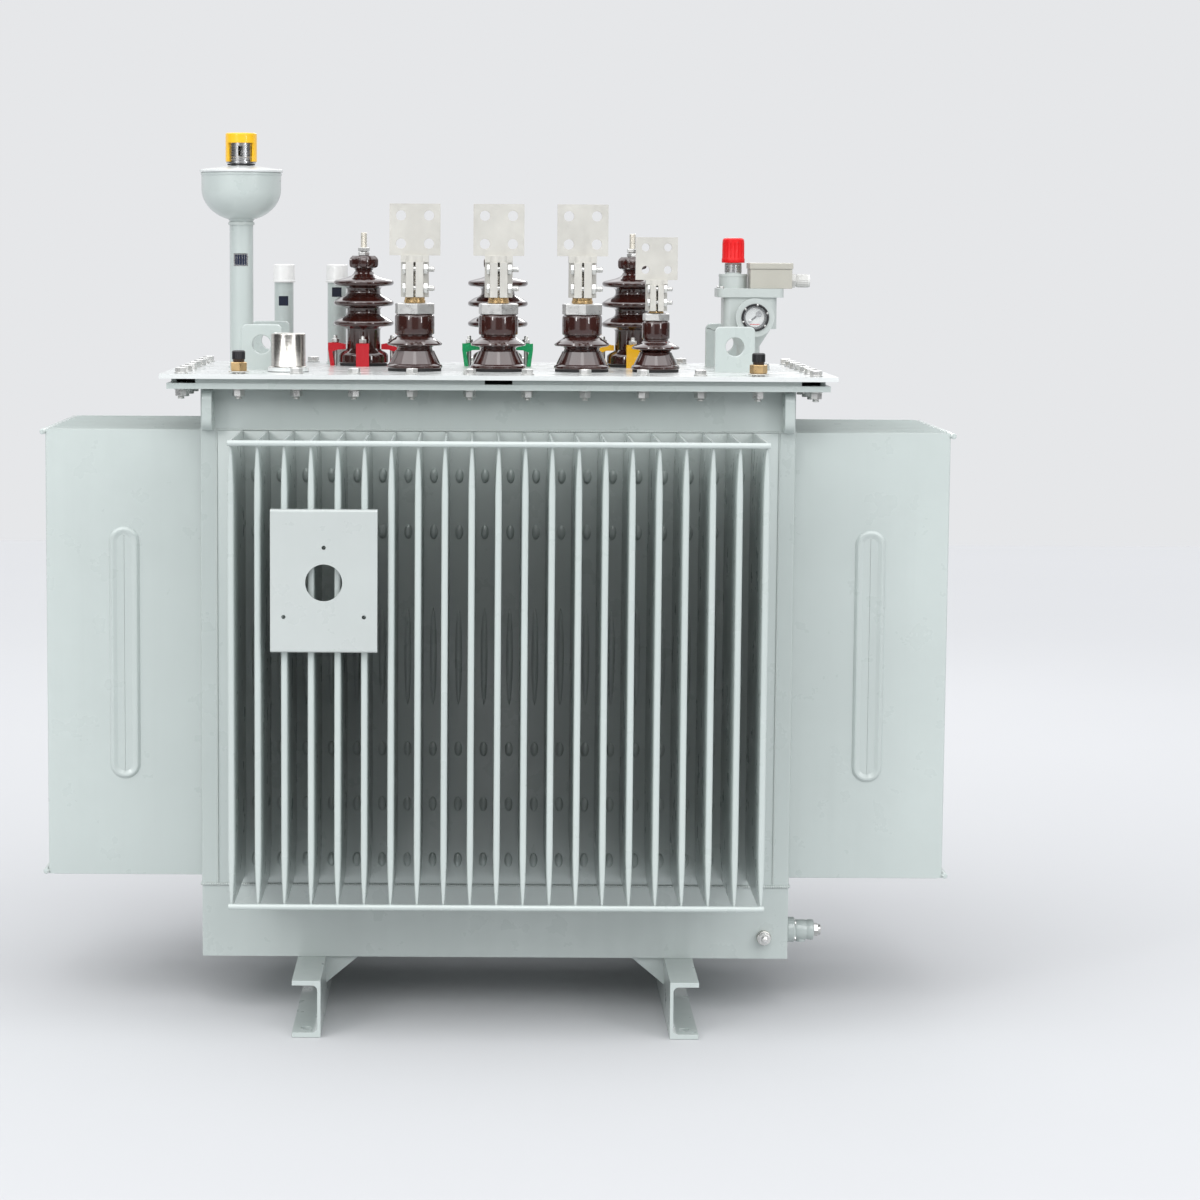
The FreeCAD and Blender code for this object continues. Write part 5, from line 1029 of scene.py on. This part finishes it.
junction = [dressed("junction_box", 0.8, beige, 2)]
terminals = repeat(hexagon(6.0, 1.6, 0.4, material=brass), [(BOX_X + 10 * i, RY + y, DECK + 17.0)
    for i in (-1, 0, 1) for y in (-4.5, 4.5)])
keep(join(junction + [terminals]), "wiring_box", "junction_box")
box_lid = [dressed("junction_box_lid", 1.2, beige, 3)]
lid_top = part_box("junction_box_lid")[1][2] / MM
screw = coated(soften(turned([(3.4, -1.0), (3.4, 0.0), (2.8, 0.35)], 20), 0.1, 1), zinc)
slot_bar = coated(block(-2.6, 2.6, -0.35, 0.35, 0.1, 0.38), cap_black)
screw_places = [(BOX_X + sx * 32.0, RY + sy * 32.0, lid_top - 0.40, 30 * sx + 50 * sy)
    for sx in (-1, 1) for sy in (-1, 1)]
box_lid.append(repeat(join([screw, slot_bar]), screw_places))
keep(join(box_lid), "wiring_box_lid", "junction_box_lid", "junction_box_lid")

gland = [lathe([(6.0, 0), (10.0, 0), (10.0, 7.0), (6.0, 7.0)], 28, gland_white, hollow=True)]
gland.append(move(hexagon(25.0, 8.5, 1.2, 6.0, material=gland_white), 0, 0, 7.0))
gland_nut = turned([(6.0, 0), (10.2, 0), (10.2, 2.2), (12.0, 3.0), (12.0, 22.5), (11.2, 26.5), (6.0, 26.5)],
    36, hollow=True)
grooved(gland_nut, 5.0, 20.0, 11.2, 10.0, odd, 0.9)
gland.append(coated(move(smooth(gland_nut, 25.0), 0, 0, 15.5), gland_white))
gland = move(lay(join(gland), "X"), BOX_X + 38.0 - 7.0, RY, DECK + 14.0)
keep(gland, "cable_entry_gland", "cable_gland")


# Drain valve and earthing

drain = turned([(10.0, 0), (18.0, 0), (18.0, 7.5), (22.0, 8.0), (23.0, 9.0), (23.0, 20.0), (22.0, 21.0),
    (19.0, 21.2), (17.6, 23.0), (18.5, 26.0), (18.5, 40.0), (17.4, 42.0), (17.4, 44.0), (18.5, 46.0),
    (18.5, 54.6), (17.4, 56.0), (7.1, 56.0), (7.1, 44.0), (10.0, 43.8)], 48, hollow=True)
drain = [coated(smooth(drain, 32.0), paint)]
drain.append(repeat(hexagon(8.0, 3.0, 0.6), round_places(0, 0, 20.6, 19.6, 4, 45.0)))
drain = move(lay(join(drain), "X"), HALF_X, DRAIN_Y, DRAIN_Z)
spout = lathe([(6.0, 0), (8.4, 0), (9.0, 1.0), (9.0, 6.0), (6.0, 6.0)], 28, paint, hollow=True)
spout = move(spout, DRAIN_END - 23.0, DRAIN_Y, DRAIN_Z - 21.5)
drain_weld = ripples_round(0, 0, 0, 18.4, 2.2)
drain_weld = move(lay(drain_weld, "X"), HALF_X + 0.6, DRAIN_Y, DRAIN_Z)
keep(join([drain, spout, drain_weld]), "drain_valve_housing", "drain_valve_body")

plug = [lathe([(9.6, -54.0), (9.6, -48.0), (7.0, -47.8), (7.0, 0.4)], 28, stainless),
    move(hexagon(21.0, 8.0, 0.6), 0, 0, 0.4), lathe([(9.2, 8.4), (9.2, 12.6), (8.4, 13.4)], 28, zinc)]
keep(move(lay(join(plug), "X"), DRAIN_END, DRAIN_Y, DRAIN_Z), "drain_valve_spindle", "drain_valve_plug",
    "drain_valve_plug")

boss = coated(soften(turned([(13.0, 0), (13.0, 8.6), (12.0, 10.0)], 36), 0.4, 2), stainless)
ear_washer = coated(move(soften(turned([(6.2, 0), (12.0, 0), (12.0, 2.5), (6.2, 2.5)], 32, hollow=True),
    0.4, 2), 0, 0, 10.0), zinc)
earth_nut = move(hexagon(19.0, 9.0, 0.6, 6.1), 0, 0, 12.5)
earth_end = lathe([(6.0, 10.0), (6.0, 21.6)] + thread(6.0, 21.6, 29.0, 1.75), 20, zinc, 50.0)
earth = move(lay(join([boss, ear_washer, earth_nut, earth_end]), "-Y"), 480.0, -HALF_Y, 139.0)
keep(earth, "earth_terminal", "earth_stud")

bond_low = COVER_TOP + WASHER
bond_base = coated(soften(turned([(6.2, 0), (18.0, 0), (18.0, 2.0), (6.2, 2.0)], 40, hollow=True), 0.5, 2),
    tin)
bond_hex = move(hexagon(27.0, 16.0, 1.6, 6.1, material=brass), 0, 0, 2.0)
bonds = join([bond_base, bond_hex])
keep(repeat(bonds, [(x, y, bond_low, 10 + 13 * i) for i, (x, y) in enumerate(BONDED)]), "bonding_terminals",
    "bonding_studs")
bond_ring = coated(soften(turned([(6.2, 0), (9.2, 0), (10.0, 0.8), (10.0, 4.0), (6.2, 4.0)], 36,
    hollow=True), 0.3, 1), bakelite)
bond_cap = turned([(10.6, 4.0), (11.5, 4.8), (11.5, 17.6), (10.4, 19.4), (8.4, 20.0)], 40)
grooved(bond_cap, 5.0, 17.0, 0.0, 9.0, odd, 0.8)
coated(smooth(bond_cap, 25.0), cap_black)
keep(repeat(join([bond_ring, bond_cap]), [(x, y, bond_low + 18.0) for x, y in BONDED]),
    "bonding_terminal_caps", "bonding_stud_caps")


# Pieces inside the tank keep their frame meshes and take real finishes

for node, material in (("core", core_steel), ("core_clamps", clamp_steel), ("lv_windings", copper),
        ("hv_windings", copper), ("winding_insulation", pressboard), ("winding_leads", copper),
        ("tap_changer_switch", tube)):
    for part_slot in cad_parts[node].material_slots:
        part_slot.material = material


# Floor, light and camera

deselect()
bpy.ops.mesh.primitive_plane_add(size=18.0, location=(0, 0, -0.0005))
floor = settle(bpy.context.object)
floor.name = "studio_floor"
coated(floor, floor_grey)

world = bpy.data.worlds.new("studio")
bpy.context.scene.world = world
world.use_nodes = True
air = world.node_tree
sky = air.nodes["Background"]
sky.inputs["Strength"].default_value = 0.85
aim = air.nodes.new("ShaderNodeTexCoord")
axes = air.nodes.new("ShaderNodeSeparateXYZ")
air.links.new(aim.outputs["Generated"], axes.inputs["Vector"])
panels = air.nodes.new("ShaderNodeValToRGB")
air.links.new(spread(air, axes.outputs["X"], -1.0, 1.0, 0.0, 1.0), panels.inputs["Fac"])
panel_steps = ((0.0, 0.10), (0.12, 0.12), (0.20, 1.1), (0.33, 1.1), (0.40, 0.26), (0.66, 0.30),
    (0.72, 0.85), (0.82, 0.85), (0.88, 0.14), (1.0, 0.10))
while len(panels.color_ramp.elements) < len(panel_steps):
    panels.color_ramp.elements.new(0.5)
for step, (place, level) in zip(panels.color_ramp.elements, panel_steps):
    step.position = place
    step.color = (level, level, level * 1.02, 1.0)
overhead = blend(air, spread(air, axes.outputs["Z"], 0.30, 0.55, 0.0, 1.0), (0.5, 0.5, 0.5),
    (2.2, 2.22, 2.26))
behind = blend(air, spread(air, axes.outputs["Y"], 0.15, 0.45, 0.0, 1.0), (0.5, 0.5, 0.5),
    (0.82, 0.83, 0.85))
air.links.new(panels.outputs["Color"], behind.node.inputs[6])
air.links.new(behind, overhead.node.inputs[6])
rays = air.nodes.new("ShaderNodeLightPath")
air.links.new(blend(air, rays.outputs["Is Glossy Ray"], (0.93, 0.94, 0.96), overhead), sky.inputs["Color"])


def lamp(name, place, target, size, power, tint=(1.0, 1.0, 1.0)):
    data = bpy.data.lights.new(name, "AREA")
    data.shape = "RECTANGLE"
    data.size = size[0]
    data.size_y = size[1]
    data.energy = power
    data.color = tint
    obj = bpy.data.objects.new(name, data)
    bpy.context.collection.objects.link(obj)
    obj.location = place
    obj.rotation_euler = (Vector(target) - Vector(place)).to_track_quat("-Z", "Y").to_euler()


lamp("key_light", (-3.0, -4.4, 3.0), (0, 0, 0.9), (0.5, 1.6), 30.0)
lamp("fill_light", (3.2, -4.0, 2.4), (0, 0, 0.9), (0.45, 1.5), 20.0, (0.97, 0.98, 1.0))
lamp("front_light", (0.3, -5.7, 3.1), (0, 0, 0.6), (1.5, 0.4), 9.0)
lamp("top_light", (0.0, 0.4, 4.4), (0, 0, 1.0), (1.8, 1.2), 8.0)
lamp("back_light", (0.8, 4.4, 3.0), (0, 0, 0.9), (1.6, 0.8), 20.0)
for name, energy, way in (("left_sun", 1.35, (0.38, 0.62, -0.69)), ("right_sun", 0.95,
        (-0.42, 0.60, -0.68))):
    sun = bpy.data.lights.new(name, "SUN")
    sun.energy = energy
    sun.angle = math.radians(60.0)
    sun_stand = bpy.data.objects.new(name, sun)
    bpy.context.collection.objects.link(sun_stand)
    sun_stand.rotation_euler = Vector(way).to_track_quat("-Z", "Y").to_euler()

view = bpy.data.cameras.new("camera")
view.sensor_width = 36.0
view.lens = 98.01
view.shift_x = 0.0996
view.clip_end = 200.0
camera = bpy.data.objects.new("camera", view)
bpy.context.collection.objects.link(camera)
camera.location = (-0.02942, -5.99616, 1.36897)
tilt = Matrix.Rotation(math.radians(90.0 - 6.22), 3, "X") @ Matrix.Rotation(math.radians(0.31), 3, "Z")
camera.rotation_euler = tilt.to_euler()
bpy.context.scene.camera = camera
bpy.context.scene.view_settings.view_transform = "Standard"
